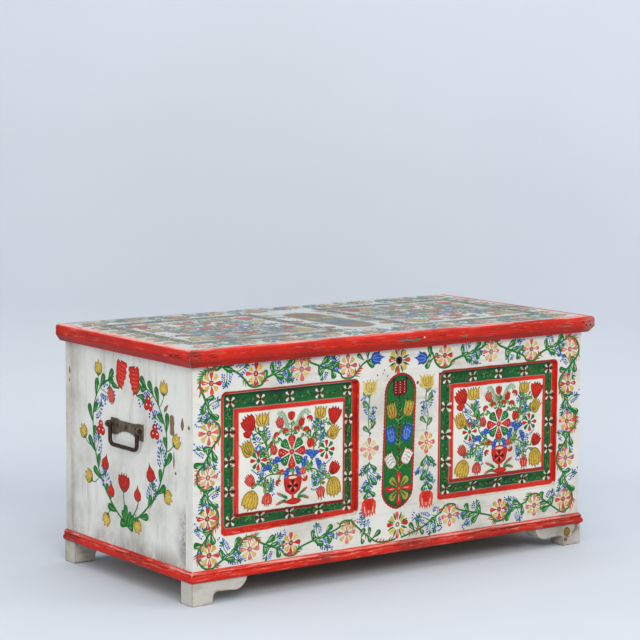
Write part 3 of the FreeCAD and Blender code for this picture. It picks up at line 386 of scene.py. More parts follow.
def sprig(work, u, v, heading, length=34, bend=0.3, width=13, dot=1.0):
    """A bent stem that ends in a slim leaf, in a cloud of blue dashes."""
    def dash(place, shade, way):
        if work.open_ground(*place):
            work.blob(*place, 2.9 * dot, 1.8 * dot, shade, 1, way, 7)

    while not work.open_ground(*aim(u, v, heading, length * 0.9, bend * length * 0.81)):
        length *= 0.85
        if length < 14:
            return
    spine = [aim(u, v, heading, length * t, bend * length * t * t) for t in (i / 6 for i in range(7))]
    work.ribbon(spine, [1.5 - 0.1 * i for i in range(7)], ("leaf", "light leaf"), 1)
    tip = heading_to(spine[-2], spine[-1])
    work.dab(*spine[-3], tip, 0, length * 0.5, length * 0.19, GREEN, 2, LEAF)
    steps = max(4, round(length / (4.9 * dot)))
    for row, reach in ((0, 1.0), (1, 0.58)):
        for side in (-1, 1):
            for index in range(steps - row):
                if chance.random() < 0.05:
                    continue
                t = 0.24 + 1.05 * (index + 0.5 * row) / steps
                swell = math.sin(math.pi * min(0.93, 0.25 + 0.55 * t))
                away = side * width * reach * swell * chance.uniform(0.92, 1.1)
                place = aim(u, v, heading, length * t, bend * length * t * t + away)
                dash(place, chance.choice(("blue", "blue", "deep blue", "sky")), tip + side * 44)
    for turn in (-34, -12, 12, 34):
        dash(aim(*spine[-1], tip + turn, length * 0.42), "blue", tip + turn)


def dotted(work, points, dot):
    """Short dashes set across a smooth line."""
    line = flowing(points, 5)
    for here, there in zip(line, line[1:]):
        shade = chance.choice(("blue", "deep blue", "sky", "leaf"))
        way = heading_to(here, there) + chance.choice((50, 90, 130))
        work.blob(*here, 2.6 * dot, 1.5 * dot, shade, 1, way, 7)


def thorns(work, line, first, last, length=12):
    """Red and green hairs that lean along a stem in loose tufts, on both sides."""
    for here, there in zip(line[first:last], line[first + 1:last + 1]):
        for side in (-1, 1):
            if chance.random() < 0.28:
                continue
            paints = chance.choice((RED, ("red", "salmon"), ("red", "red"), GREEN, SPRING))
            long = length * chance.uniform(0.7, 1.3)
            way = heading_to(here, there) + side * chance.uniform(22, 42)
            if work.open_ground(*aim(*here, way, long)):
                work.dab(*here, way, 1, long, 3.4, paints, 1, TICK, side * 0.25)


def berries(work, u, v, size):
    """A cluster of three red berries with white flecks."""
    for index in range(3):
        place = aim(u, v, 90 + 120 * index, size * 0.62)
        work.dot(*place, size * 0.66, RED, 2, 12)
        work.blob(*aim(*place, 120, size * 0.2), size * 0.18, size * 0.14, "cream", 3, 0, 7)


def fern(work, points, paints, size):
    """A curled frond with short strokes along both sides."""
    spine = work.line(points, 3.2 * size, 1.6 * size, paints, 2, 5)
    for here, there in zip(spine[1:], spine[2:]):
        for side in (-1, 1):
            work.dab(*here, heading_to(here, there) + side * 48, 0, 8.5 * size, 3.4 * size, paints, 2, TICK)


def small_cross(work, u, v, size, coat=0):
    """Four pale petals and four dark red ones round a black centre."""
    turn = chance.uniform(-6, 6)
    for heading in range(0, 360, 90):
        work.dab(u, v, heading + turn, size * 0.1, size * 0.88, size * 0.5, ("bark", "oxide"), coat)
        work.dab(u, v, 45 + heading + turn, size * 0.27, size * 0.78, size * 0.48, ("pale green", "white"),
                 coat + 1)
    work.dot(u, v, size * 0.17, "black", coat + 2)


def round_flower(work, u, v, radius):
    """Green and red petals in turn, with light flecks in their middles."""
    for first, coat, paints, fleck in ((45, 1, GREEN, "pale green"), (0, 2, RED, "rose")):
        for heading in range(first, 360, 90):
            work.dab(u, v, heading, radius * 0.22, radius * 0.82, radius * 0.58, paints, coat)
            for reach, lean in ((0.5, 0), (0.66, 8), (0.66, -8), (0.82, 0)):
                place = aim(u, v, heading + lean, radius * reach)
                work.blob(*place, radius * 0.045, radius * 0.035, fleck, coat + 1, 0, 7)
    work.dot(u, v, radius * 0.19, RED, 3, 10)
    work.dot(u, v, radius * 0.06, "rose", 4)


def slim_flower(work, u, v, radius):
    """Eight narrow petals, red and dark green in turn, round a green centre."""
    for index in range(8):
        paints = ("black", "leaf") if index % 2 else RED
        work.dab(u, v, 45 * index + chance.uniform(-5, 5), radius * 0.28, radius * 0.74, radius * 0.42,
                 paints, 2)
    work.blob(u, v, radius * 0.22, radius * 0.24, GREEN, 3, 0, 10)


def blue_cluster(work, u, v, size, heading):
    """Three blue petals side by side."""
    for turn in (-62, 0, 62):
        work.dab(u, v, heading + turn, 0, size, size * 0.8, ("deep blue", "blue", "blue"), 2)
        work.dab(u, v, heading + turn, size * 0.5, size * 0.36, size * 0.16, "sky", 3, TICK)


# the border of the front
# Headings from a flower's middle that a vine follows, by the side of the flower on which it passes.
LEFTWARD, RIGHTWARD = (112, 146, 180, 214, 248), (68, 34, 0, -34, -68)
ABOVE, BELOW = (158, 124, 90, 56, 22), (202, 236, 270, 304, 338)


def border_vine(work, flowers, bends, opening, ending, reach=29.5):
    """The stem that winds past the flowers on alternate sides, with what grows in the gaps."""
    spots = list(opening)
    for flower, headings in zip(flowers, bends):
        middle = headings[len(headings) // 2]
        spots += [aim(*flower, heading, reach + 2 * abs(heading - middle) / 68) for heading in headings]
    line = work.line(spots + ending, 5.4, 4.2, ("stem", "leaf"), 1, 4)
    work.ribbon(line, [0.6] * len(line), GREEN, 2)
    for flower in flowers:
        near = [i for i, p in enumerate(line) if math.dist(p, flower) < reach * 1.28]
        if near:
            thorns(work, line, near[0], min(near[-1], len(line) - 2), 13)
    for index, (here, there) in enumerate(zip(flowers, flowers[1:])):
        gap = midway(here, there)
        nearest = min(range(1, len(line) - 1), key=lambda i: math.dist(line[i], gap))
        along = heading_to(line[nearest - 1], line[nearest + 1])
        root = line[nearest]
        side = 1 if index % 2 else -1
        for back, turn, length, width, bend in (
                (-16, side * 46, 31, 15, 0.15), (18, -side * 40, 30, 14.5, -0.15),
                (-5, side * 14, 26, 10, 0.3), (6, 180 + side * 18, 25, 9.5, 0.3),
                (-20, -side * 62, 25, 12, 0.2), (22, side * 66, 24, 12, -0.2)):
            leaf(work, *aim(*root, along, back), along + turn, length, width, 2, bend)
        sprig(work, *root, along - side * 106, 33, side * 0.3)
        sprig(work, *root, along + side * 78, 34, -side * 0.3)
        sprig(work, *aim(*root, along, 14), along + side * 36, 27, -side * 0.2, 9)
    return line


def front_place(a, b):
    """Shares of the front's half width and of its height, as a spot of the front's brushwork."""
    return (a * HALF_FRONT, b * WALL_HEIGHT)


def front_row(*shares):
    """Several spots of the front's brushwork."""
    return [front_place(a, b) for a, b in shares]


# What leaves and sprigs keep clear of, in millimetres: round a flower's middle and along the board's edge;
# the frames, past the window's inner and outer edges and from its low one; the oval's half width, foot and
# top.
FLOWER_ROOM, EDGE_ROOM = 21, 3
FRAME_INNER, FRAME_OUTER, FRAME_LOW, FRAME_HIGH = 8, 7, -9, 326
OVAL_HALF, OVAL_FOOT, OVAL_TOP = 50, 74, 402


def bare_front(u, v):
    """Whether a spot of the front is bare: off the frames, the oval, the flowers and the board's ends."""
    if any(math.dist((u, v), flower) < FLOWER_ROOM for flower in FLOWERS):
        return False
    by_frame = WINDOW_IN / MM - FRAME_INNER < abs(u) < WINDOW_OUT / MM + FRAME_OUTER
    framed = by_frame and FRAME_LOW < v - (WINDOW_LOW - WALL_LOW) / MM < FRAME_HIGH
    in_oval = abs(u) < OVAL_HALF and OVAL_FOOT < v < OVAL_TOP
    on_board = abs(u) < HALF_FRONT - EDGE_ROOM and EDGE_ROOM < v < WALL_HEIGHT - EDGE_ROOM
    return on_board and not framed and not in_oval


front = Brushwork((0, FRONT_Y, WALL_LOW))
front.open_ground = bare_front
LEFT_COLUMN = front_row((-0.915, 0.885), (-0.925, 0.65), (-0.93, 0.44), (-0.933, 0.245), (-0.925, 0.068))
RIGHT_COLUMN = front_row((0.935, 0.88), (0.928, 0.7), (0.926, 0.5), (0.922, 0.305), (0.913, 0.085))
TOP_LEFT = front_row((-0.708, 0.91), (-0.489, 0.91), (-0.259, 0.905))
TOP_RIGHT = front_row((0.24, 0.91), (0.49, 0.907), (0.715, 0.9))
BOTTOM_LEFT = front_row((-0.735, 0.07), (-0.537, 0.07), (-0.261, 0.078))
BOTTOM_RIGHT = front_row((0.746, 0.074), (0.548, 0.082), (0.277, 0.086))
KEYHOLE, BOTTOM_CENTRE = front_row((0, 0.907), (0, 0.082))
FLOWERS = LEFT_COLUMN + RIGHT_COLUMN + TOP_LEFT + TOP_RIGHT + BOTTOM_LEFT + BOTTOM_RIGHT
for spot in FLOWERS:
    radius = 25 * chance.uniform(0.96, 1.06)
    front.wash = chance.choice((0, 0, 0.1, 0.18))
    border_flower(front, *spot, radius)
front.wash = 0
twelve_petal_flower(front, *KEYHOLE, 31)
twelve_petal_flower(front, *BOTTOM_CENTRE, 31)
front.dot(*BOTTOM_CENTRE, 6, ("bark", "deep red"), 3, 10)
front.dot(*BOTTOM_CENTRE, 3, ("pale ochre", "cream"), 4, 8)
left_vine = border_vine(
    front, LEFT_COLUMN + BOTTOM_LEFT,
    ((62, 90, 120, 155, 190, 225), RIGHTWARD, LEFTWARD, RIGHTWARD, (120, 150, 180, 215, 250, 285, 318),
     ABOVE, BELOW, ABOVE),
    [aim(*LEFT_COLUMN[0], 52, 46)],
    [aim(*BOTTOM_CENTRE, heading, reach) for heading, reach in ((205, 74), (232, 46), (262, 34))])
# The blue heads beside the keyhole: their places and headings; the vines end at their feet.
KEYHOLE_HEADS = ((front_place(-0.112, 0.93), 4), (front_place(0.116, 0.908), 174))
LEFT_FOOT, RIGHT_FOOT = (aim(*spot, way, -19) for spot, way in KEYHOLE_HEADS)
border_vine(front, TOP_LEFT, (BELOW, ABOVE, BELOW),
            [aim(*LEFT_COLUMN[0], 42, 46), aim(*TOP_LEFT[0], 172, 52)],
            [aim(*TOP_LEFT[2], 2, 44), LEFT_FOOT])
right_vine = border_vine(
    front, TOP_RIGHT + RIGHT_COLUMN + BOTTOM_RIGHT,
    (BELOW, ABOVE, BELOW, (138, 105, 70, 30, -8, -42), LEFTWARD, RIGHTWARD, LEFTWARD,
     (62, 30, -5, -40, -75, -105), ABOVE[::-1], BELOW[::-1], ABOVE[::-1]),
    [RIGHT_FOOT, aim(*TOP_RIGHT[0], 164, 42)],
    [aim(*BOTTOM_CENTRE, heading, reach) for heading, reach in ((-12, 76), (-32, 48), (-72, 34))])
for heading, length in ((8, 36), (-28, 30), (150, 24)):
    leaf(front, *aim(*LEFT_COLUMN[0], 50, 44), heading, length, 13.5, 2)
for (spot, way), side in zip(KEYHOLE_HEADS, (1, -1)):
    tulip(front, *spot, way, 37, 31, "lotus")
    for reach, turn, length, width in ((-28, 84, 31, 14), (-34, -46, 30, 14), (-24, -70, 22, 10),
                                       (-40, 128, 24, 11)):
        leaf(front, *aim(*spot, way, reach), way + side * turn, length, width, 2)
for flower, way, headings in ((BOTTOM_LEFT[2], -22, (60, -70)), (BOTTOM_RIGHT[2], 202, (118, -112))):
    for heading in headings:
        leaf(front, *aim(*flower, way, 46), heading, 24, 12, 2)
sprig(front, *aim(*BOTTOM_RIGHT[2], 165, 40), 74, 34, 0.4)
sprig(front, *aim(*BOTTOM_RIGHT[2], 175, 44), -80, 26, 0.2)
sprig(front, *aim(*BOTTOM_LEFT[2], 14, 42), 60, 22, 0.4)
for vine in (left_vine, right_vine):
    thorns(front, vine, len(vine) - 12, len(vine) - 2)
for place in ((52, 16, 118, 27, 13), (63, 20, 92, 24, 11), (66, 21, -52, 24, 12), (-90, 24, -58, 26, 13),
              (-74, 15, 28, 28, 13), (-84, 20, 80, 22, 10), (-382, 411, 78, 27, 13),
              (-376, 408, -32, 25, 12)):
    leaf(front, *place, 2)
for place in ((98, 36, 142, 38, 0.3), (104, 34, -112, 30, 0.2), (-464, 438, 12, 36, 0.2),
              (-485, 446, -82, 34, -0.2), (-360, 427, 62, 36, 0.3), (-346, 424, -34, 38, 0.2),
              (-222, 447, -24, 34, 0.2), (-100, 40, 70, 34, 0.3)):
    sprig(front, *place)
# Small knocks in the front's paint: their places and half widths.
for u, v, half in ((-43, 410, 1.6), (-47, 403, 1.4), (-64, 400, 1.8), (-34, 396, 1.6), (56, 373, 3.4),
                   (-80, 295, 3.2), (-78, 281, 4.6), (-83, 265, 2.4)):
    front.blob(u, v, half, half * 1.2, ("bark", "wound rim"), 3, 0, 8)


# the centre: oval and side strips
def capsule(u, v, half_u, half_v, count, ripple=0.0, lean=0.0):
    """An upright outline with straight sides, a round top and a tighter foot, counter-clockwise."""
    straight, arc = half_v - half_u, math.pi * half_u
    outline = []
    for index in range(count):
        rest = (4 * straight + 2 * arc) * index / count
        half = half_u + (ripple if index % 2 else -ripple)
        for part, length in enumerate((straight, arc, 2 * straight, arc, straight)):
            if rest < length:
                break
            rest -= length
        if part in (1, 3):
            angle = rest / half_u + (0 if part == 1 else math.pi)
            share = math.copysign(abs(math.cos(angle)) ** (1 if part == 1 else 1.3), math.cos(angle))
            x, y = u + half * share, v + (2 - part) * straight + half * math.sin(angle)
        elif part == 2:
            x, y = u - half, v + straight - rest
        else:
            x, y = u + half, v + rest - (straight if part else 0)
        outline.append((x + lean * (y - v), y))
    return outline


def oval_crown(work, u, v):
    """The dark cup at the top of the oval's stem."""
    work.patch(cut(u, v, 90, 40, 44, CUP), (u, v), ("black", "deep red"), 4)
    for side in (-1, 1):
        work.line([(u + side * a, v + b) for a, b in ((8, -15), (10, 2), (7, 17))], 2, 2, "black", 5, 3)
    for step in (-13, 0, 13):
        for row in range(5):
            work.dot(u + step, v - 11 + row * 6, 1.3, ("cream", "rose"), 6)
    for side in (-1, 1):
        work.dot(u + side * 19, v + 20, 4, "black", 5, 8)


def oval_bars(work, place, heading, starts, rise, half, width, paint, coat, steps):
    """Bent lines across a head."""
    for start in starts:
        spots = [aim(*place, heading, start + up, aside) for up, aside in ((0, -half), (rise, 0), (0, half))]
        work.line(spots, width, width, paint, coat, steps)


def oval_head(work, u, v, side, kind, du, dv):
    """A head beside the oval's stem, with its stalk and its dark tip."""
    place = (u + du, v + dv)
    heading = 90 - side * (30 if kind == "white" else 14)
    work.line([(u, v + dv - 26), (u + side * 9, v + dv - 21), (u + du * 0.8, v + dv - 14)], 3, 2,
              ("black", "light leaf"), 3)
    if kind == "white":
        work.patch(cut(*place, heading, 38, 28, CUP), place, ("red", "white"), 4, 0.86)
        oval_bars(work, place, heading, (-9, -1, 7), 3, 10, 1.6, "grey green", 5, 2)
    elif kind == "olive":
        tulip(work, *place, heading, 43, 31, kind, 4)
        work.dab(*aim(*place, heading, -16), heading, 0, 16, 8, ("ochre", "red"), 5)
    else:
        tulip(work, *place, heading, 43, 28, kind, 4)
        oval_bars(work, place, heading, (-9, 3), 5, 12, 1.5, "sky", 6, 3)
    work.blob(*aim(*place, heading, 20, side * 8), 3, 2, "black", 5, 0, 7)


def oval_foot_flower(work, u, v):
    """Four green and four red petals at the foot of the oval's stem."""
    for heading in range(0, 360, 90):
        work.dab(u, v, 45 + heading, 6, 30, 18, ("light leaf", "brown ochre", "olive"), 3)
        work.dab(u, v, 45 + heading, 11, 19, 3, "black", 4, TICK)
        work.dab(u, v, heading, 6, 33, 18, ("bark", "red", "red"), 4)
        work.dab(u, v, heading, 14, 17, 3, "rose", 5, TICK)
    work.dot(u, v, 6.5, ("bark", "red"), 5, 10)
    work.dot(u, v, 2.5, "rose", 6)


OVAL_HAIRS = (SPRING, ("black", "brown ochre"), ("bark", "deep red"), ("black", "leaf"))


def oval(work, u, v, half_u, half_v):
    """The green oval with its rippled red rim and the flowers on its stem."""
    work.patch(capsule(u, v, half_u, half_v, 180, 0.7, 0.03), (u, v), RED, 0, 0.9)
    work.patch(capsule(u, v, half_u - 5, half_v - 5, 110, 0.5, 0.03), (u, v),
               ("dark leaf", "oval green"), 1, 0.93)
    stem = work.line([(u + a, v + b) for a, b in ((-1, 112), (3, 60), (-2, 0), (2, -50), (-1, -84))], 5, 4.4,
                     ("black", "dark leaf"), 2)
    for here, there in zip(stem[2:-1], stem[3:]):
        for side in (-1, 1):
            paints = chance.choice(OVAL_HAIRS)
            way = heading_to(there, here) + side * chance.uniform(24, 50)
            work.dab(*here, way, 1, chance.uniform(8, 14), 3.4, paints, 3, TICK)
    for _ in range(16):
        side, height = chance.choice((-1, 1)), chance.uniform(-0.75, 0.7)
        work.dab(u + side * chance.uniform(8, 30), v + half_v * height, 90 + side * chance.uniform(10, 60), 0,
                 chance.uniform(10, 20), 4, GREEN, 2, TICK)
    oval_crown(work, u + 2, v + 127)
    for side, places in ((-1, ((-22, 74), (-24, 16), (-25, -45))), (1, ((28, 77), (23, 18), (24, -38)))):
        for place, kind in zip(places, ("olive", "blue", "white")):
            oval_head(work, u, v, side, kind, *place)
    oval_foot_flower(work, u + 1, v - 113)


def strip_top(side, fade):
    """The pale tulip beside the oval, with its stem and leaves."""
    top = front_place(side * 0.147, 0.787)
    front.wash = fade * 0.5
    tulip(front, *top, 90, 33, 42, "pale", 3, 4)
    front.wash = 0.1
    stem = [aim(*top, way, reach) for way, reach in ((270, 14), (266, 45), (270 + side * 3, 80), (270, 116))]
    front.line(stem, 3.4, 2.2, GREEN, 1)
    front.wash = 0.08
    for reach, turn, length in ((20, 1, 24), (26, -1, 22), (50, -1, 24), (100, 1, 22), (108, -1, 22)):
        leaf(front, *aim(*top, 270, reach), 90 + turn * side * 42, length * 1.15, 12.5, 2)
    front.wash = 0
    sprig(front, *aim(*top, 270, 58), 90 - side * 62, 26, side * 0.5, 9)
    sprig(front, *aim(*top, 270, 84), 90 + side * 46, 26, -side * 0.4, 9)


def strip_middle(side, fade):
    """The eight petals beside the oval's middle, with the stem that hangs from them."""
    centre = front_place(side * 0.148, 0.482)
    front.wash = fade
    petals(front, *centre, "red", 7, 19, 12, 2)
    petals(front, *centre, "ochre", 7, 16, 12, 1)
    front.dot(*centre, 6, ("red", "salmon"), 3, 9)
    front.dot(*centre, 2.6, "cream", 4)
    front.wash = 0
    front.line([aim(*centre, 270, 30), aim(*centre, 270 + side * 6, 60), aim(*centre, 270 - side * 4, 92)],
               2.4, 3.2, GREEN, 1)
    for reach, turn, length in ((32, 1, 24), (34, -1, 24), (66, -1, 26), (78, 1, 24), (98, 1, 22),
                                (98, -1, 20)):
        leaf(front, *aim(*centre, 270, reach), 270 + turn * side * 40, length * 1.15, 12, 2)
    for reach, turn, length, bend, width in ((36, 34, 34, 0.3, 9), (52, -38, 34, -0.3, 9),
                                             (70, -14, 30, 0.3, 10), (74, 34, 24, 0.2, 8)):
        sprig(front, *aim(*centre, 270, reach), 270 + side * turn, length, side * bend, width)


def strip_foot(side):
    """The fringed head that hangs beside the oval's foot."""
    low = front_place(side * 0.149, 0.19)
    tulip(front, *low, 270, 40, 44, "salmon")
    for turn in (-1.6, -0.5, 0.5, 1.6):
        front.dab(*aim(*low, 90, 21, turn * 7), 270 + turn * 7, 0, 30, 9, "red", 5, LOBE)


oval(front, *front_place(0.003, 0.503), 47, 162)
for side, fade in ((-1, 0.3), (1, 0.05)):
    strip_top(side, fade)
    strip_middle(side, fade)
    strip_foot(side)


# crosses and ticks on the green bands
def band_relief(u, v):
    """How far the bevels on both sides stand above the band's flat floor."""
    across, up = abs(abs(u) - FIELD_X / MM), abs(v)
    past_outer = max(across - HALF_FIELD - (BEVEL + BAND) / MM, up - HALF_FIELD_HEIGHT - (BEVEL + BAND) / MM)
    past_inner = max(across - HALF_FIELD - BEVEL / MM, up - HALF_FIELD_HEIGHT - BEVEL / MM)
    return min(BEVEL / MM, max(0.0, past_outer, -past_inner))


band = Brushwork((0, FRONT_Y + BEVEL, FIELD_Z))
band.relief = band_relief
# Paints of the bands' ticks: one that is named more than once is picked more often.
BAND_TICKS = ("light leaf", "brown ochre", "dark leaf", "dark leaf", "black", "black", *("leaf",) * 4)
# For each side: where the middles of the green lines run, on the inner and outer sides, low and high.
for side, inner, outer, low, high in ((-1, 141, 473, 179, 449), (1, 149, 479, 183, 451)):
    middle_u, half_band_u = side * (inner + outer) / 2, (outer - inner) / 2
    middle_v, half_band_v = (low + high) / 2 - FIELD_Z / MM, (high - low) / 2
    for index in range(620):
        along = chance.uniform(-0.98, 0.98)
        spread = chance.uniform(-6.5, 6.5)
        if index % 5 < 3:
            u, v, way = along * half_band_u, chance.choice((-1, 1)) * half_band_v + spread, 0
        else:
            u, v, way = chance.choice((-1, 1)) * half_band_u + spread, along * half_band_v, 90
        shade = chance.choice(BAND_TICKS)
        length = chance.uniform(5, 9) if shade in ("light leaf", "brown ochre") else chance.uniform(8, 13)
        way += chance.choice((-1, 1)) * chance.uniform(15, 60)
        band.dab(middle_u + u, middle_v + v, way, -length / 2, length, 1.8, shade, 0, TICK, 0.3)
    spots = [(share, turn) for share in (-0.98, -0.49, 0, 0.5, 0.98) for turn in (-1, 1)]
    spots += [(turn, share) for share in (-0.5, 0.0, 0.5) for turn in (-1, 1)]
    for a, b in spots:
        small_cross(band, middle_u + a * half_band_u, middle_v + b * half_band_v, 14)


# the bouquets of the two white fields, by shares of the field's half width and half height
# Heads: place, heading, length, width and kind.
BLOOMS = (
    (-0.82, 0.79, 122, 42, 40, "red"), (0.85, 0.77, 80, 44, 42, "crown"), (-0.56, 0.84, 92, 31, 38, "yellow"),
    (0.57, 0.86, 84, 29, 34, "yellow"), (-0.84, 0.28, 114, 40, 34, "yellow"),
    (0.83, 0.43, 56, 36, 31, "yellow"), (-0.84, 0.58, 105, 20, 24, "heart"), (0.0, 0.86, 90, 23, 20, "red"),
    (-0.22, 0.73, 112, 28, 22, "striped"), (0.2, 0.72, 66, 24, 19, "bud"), (0.35, 0.74, 60, 20, 18, "curl"),
    (-0.11, 0.53, 110, 19, 15, "curl"), (0.1, 0.55, 70, 19, 15, "curl"), (-0.28, 0.47, 124, 19, 15, "curl"),
    (0.29, 0.51, 80, 21, 14, "curl"), (0.375, 0.26, 70, 25, 21, "heart"), (-0.345, 0.21, 108, 28, 22, "pink"),
    (0.85, -0.33, 56, 34, 31, "red"), (-0.79, -0.38, 130, 33, 26, "striped"),
    (-0.79, -0.78, 252, 50, 48, "hanging"), (0.84, -0.72, 274, 52, 44, "hanging"),
    (-0.47, -0.79, 262, 32, 29, "striped"), (0.585, -0.8, 276, 31, 27, "pink"),
    (-0.18, -0.3, 110, 17, 14, "curl"), (0.23, -0.3, 70, 20, 19, "pink"), (-0.24, -0.5, 140, 18, 14, "curl"),
    (0.26, -0.44, 300, 18, 15, "curl"),
)
# Branches, dotted arcs, and fronds at the top and beside the goblet's foot: the spots they run through.
BRANCHES = (
    ((0.0, 0.42), (0.01, 0.6), (-0.01, 0.74)),
    ((-0.16, -0.32), (-0.3, -0.16), (-0.42, 0.0), (-0.47, 0.24), (-0.56, 0.47), (-0.72, 0.66)),
    ((0.18, -0.34), (0.32, -0.24), (0.44, -0.02), (0.44, 0.22), (0.49, 0.45), (0.62, 0.63), (0.76, 0.64)),
    ((-0.47, 0.28), (-0.5, 0.46), (-0.55, 0.64)), ((0.47, 0.4), (0.5, 0.6), (0.54, 0.74)),
    ((-0.44, 0.1), (-0.6, 0.2), (-0.74, 0.22)), ((0.45, 0.24), (0.6, 0.36), (0.72, 0.4)),
    ((-0.12, -0.32), (-0.42, -0.3), (-0.6, -0.42), (-0.72, -0.52)),
    ((0.16, -0.32), (0.42, -0.28), (0.6, -0.4), (0.76, -0.44)), ((-0.5, -0.34), (-0.5, -0.5), (-0.47, -0.64)),
    ((0.5, -0.34), (0.58, -0.5), (0.58, -0.66)), ((0.0, 0.44), (-0.12, 0.6), (-0.2, 0.62)),
    ((0.02, 0.44), (0.12, 0.6), (0.18, 0.62)), ((0.44, 0.2), (0.38, 0.4), (0.3, 0.46)),
    ((-0.46, 0.2), (-0.4, 0.36), (-0.32, 0.4)), ((0.03, -0.36), (0.02, -0.28), (0.0, -0.2)),
)
# Sprigs: place, heading, length and bend.
SPRIGS = ((-0.4, -0.34, 266, 32, 0.1), (0.46, -0.34, 276, 32, -0.1), (-0.56, -0.1, 240, 30, 0.4),
          (0.58, -0.16, 300, 30, -0.3), (-0.5, 0.42, 66, 26, 0.3), (0.5, 0.3, 40, 28, 0.4),
          (0.48, 0.5, 104, 28, -0.3), (-0.56, 0.36, 172, 28, -0.4), (-0.48, 0.14, 132, 22, 0.4),
          (0.54, 0.22, 24, 20, 0.5))
ARCS = (((-0.78, 0.14), (-0.72, 0.28), (-0.56, 0.28), (-0.46, 0.16)),
        ((-0.76, -0.16), (-0.64, -0.26), (-0.46, -0.28)), ((0.5, 0.3), (0.6, 0.4), (0.76, 0.3)),
        ((0.56, -0.24), (0.7, -0.2), (0.82, -0.08)), ((-0.38, -0.38), (-0.42, -0.56), (-0.36, -0.66)),
        ((0.42, -0.36), (0.5, -0.54), (0.46, -0.66)))
TOP_FRONDS = (((-0.03, 0.48), (-0.08, 0.64), (-0.12, 0.8), (-0.18, 0.92), (-0.25, 0.9)),
              ((0.05, 0.54), (0.12, 0.7), (0.19, 0.86), (0.28, 0.93), (0.34, 0.87)))
FOOT_FRONDS = (((-0.06, -0.84), (-0.14, -0.78), (-0.24, -0.72)),
               ((-0.08, -0.88), (-0.16, -0.88), (-0.26, -0.92)), ((0.12, -0.84), (0.2, -0.74), (0.28, -0.68)),
               ((0.12, -0.86), (0.22, -0.82), (0.31, -0.86)))
# Small blue flowers and loose leaves: place and heading.
CLUSTERS = ((0.33, 0.01, 60), (0.29, -0.13, 160), (0.47, -0.02, 120), (0.5, -0.2, 20), (-0.27, -0.07, 100),
            (-0.46, -0.2, 100), (-0.05, -0.33, 160), (0.1, -0.32, 20))
LOOSE_LEAVES = ((-0.16, 0.34, 140), (0.16, 0.36, 40), (-0.24, -0.16, 200), (0.2, -0.14, -20),
                (-0.34, -0.3, 130), (0.04, -0.36, 92), (0.36, -0.3, 60), (-0.66, -0.46, 200),
                (0.68, -0.48, -30), (-0.62, 0.52, 20), (0.6, 0.54, 150), (0.52, 0.12, 40), (-0.5, 0.08, 150),
                (0.4, -0.4, 300), (-0.34, -0.42, 240))
# The goblet's outline, in millimetres.
GOBLET = ((-7, -24), (7, -24), (20, -15), (25, 2), (25, 15), (17, 21), (0, 22.5), (-17, 21), (-25, 15),
          (-25, 2), (-20, -15))
# Rims and bodies in one paint, which no wash thins.
FULL_BLACK, FULL_ROSE = (("black", 0),) * 2, (("rose", 0),) * 2


def goblet(work, u, v):
    """The red goblet on its foot, with a light mouth and a flower on its side."""
    work.line([(u, v - 34), (u, v - 16)], 7, 5, RED, 2)
    work.dab(u - 24, v - 40, 0, 0, 48, 15, RED, 2, LEAF)
    work.patch([(u + a, v + b) for a, b in GOBLET], (u, v), RED, 2, 0.84)
    work.blob(u, v + 15.5, 13, 3.4, ("rose", "cream"), 3, 0, 12)
    for heading in range(0, 360, 90):
        work.dab(u, v - 4, heading, 1, 14, 8, FULL_BLACK, 3)
        work.dab(u, v - 4, 45 + heading, 4, 11, 2.2, FULL_ROSE, 3, TICK)


def branch(work, points):
    """A stem of a bouquet, with small leaves on both sides."""
    line = work.line(points, 3.4, 2.4, GREEN, 0, 4)
    for here, there in zip(line[1:], line[2:]):
        for side in (-1, 1):
            if chance.random() < 0.45:
                continue
            paints = chance.choice((GREEN, ("leaf", "light leaf"), SPRING, ("deep red", "brown ochre")))
            way = heading_to(here, there) + side * chance.uniform(30, 60)
            work.dab(*here, way, 0, chance.uniform(9, 16), 5.5, paints, 1, TEARDROP, 0.2)


def bouquet(work, half_u, half_v):
    """A goblet of tulips, small flowers, ferns and dotted sprigs, placed by shares of its field."""
    def at(a, b):
        return (a * half_u, b * half_v)

    size = half_u / HALF_FIELD
    for points in BRANCHES:
        branch(work, [at(*spot) for spot in points])
    for points in ARCS:
        dotted(work, [at(*spot) for spot in points], size)
    for a, b, heading, length, bend in SPRIGS:
        sprig(work, *at(a, b), heading, length * size, bend, 9)
    for a, b, heading, length, width, kind in BLOOMS:
        veins = 4 if length > 32 else 3 if length > 25 else 1
        tulip(work, *at(a, b), heading, length * size, width * size, kind, 3, veins)
    for points in TOP_FRONDS:
        fern(work, [at(*spot) for spot in points], ("dark leaf", "pale green"), size)
    for points in FOOT_FRONDS:
        spots = [at(*spot) for spot in points]
        fern(work, spots, GREEN, size * 0.66)
        tip = aim(*spots[-1], heading_to(*spots[-2:]), 5 * size)
        fern(work, spots[1:] + [tip], ("deep red", "salmon"), size * 0.42)
    goblet(work, *at(0.03, -0.55))
    round_flower(work, *at(0.01, 0.12), 38 * size)
    for place in ((-0.635, 0.02), (0.7, 0.08)):
        slim_flower(work, *at(*place), 23 * size)
    for a, b, heading in CLUSTERS:
        blue_cluster(work, *at(a, b), 15 * size, heading)
    for a, b, heading in LOOSE_LEAVES:
        leaf(work, *at(a, b), heading, 18 * size, 8.5 * size)


fields = []
for side in (-1, 1):
    work = Brushwork((side * FIELD_X, FRONT_Y, FIELD_Z + side * 0.003))
    bouquet(work, HALF_FIELD - 6, HALF_FIELD_HEIGHT - 5)
    fields.append(work)


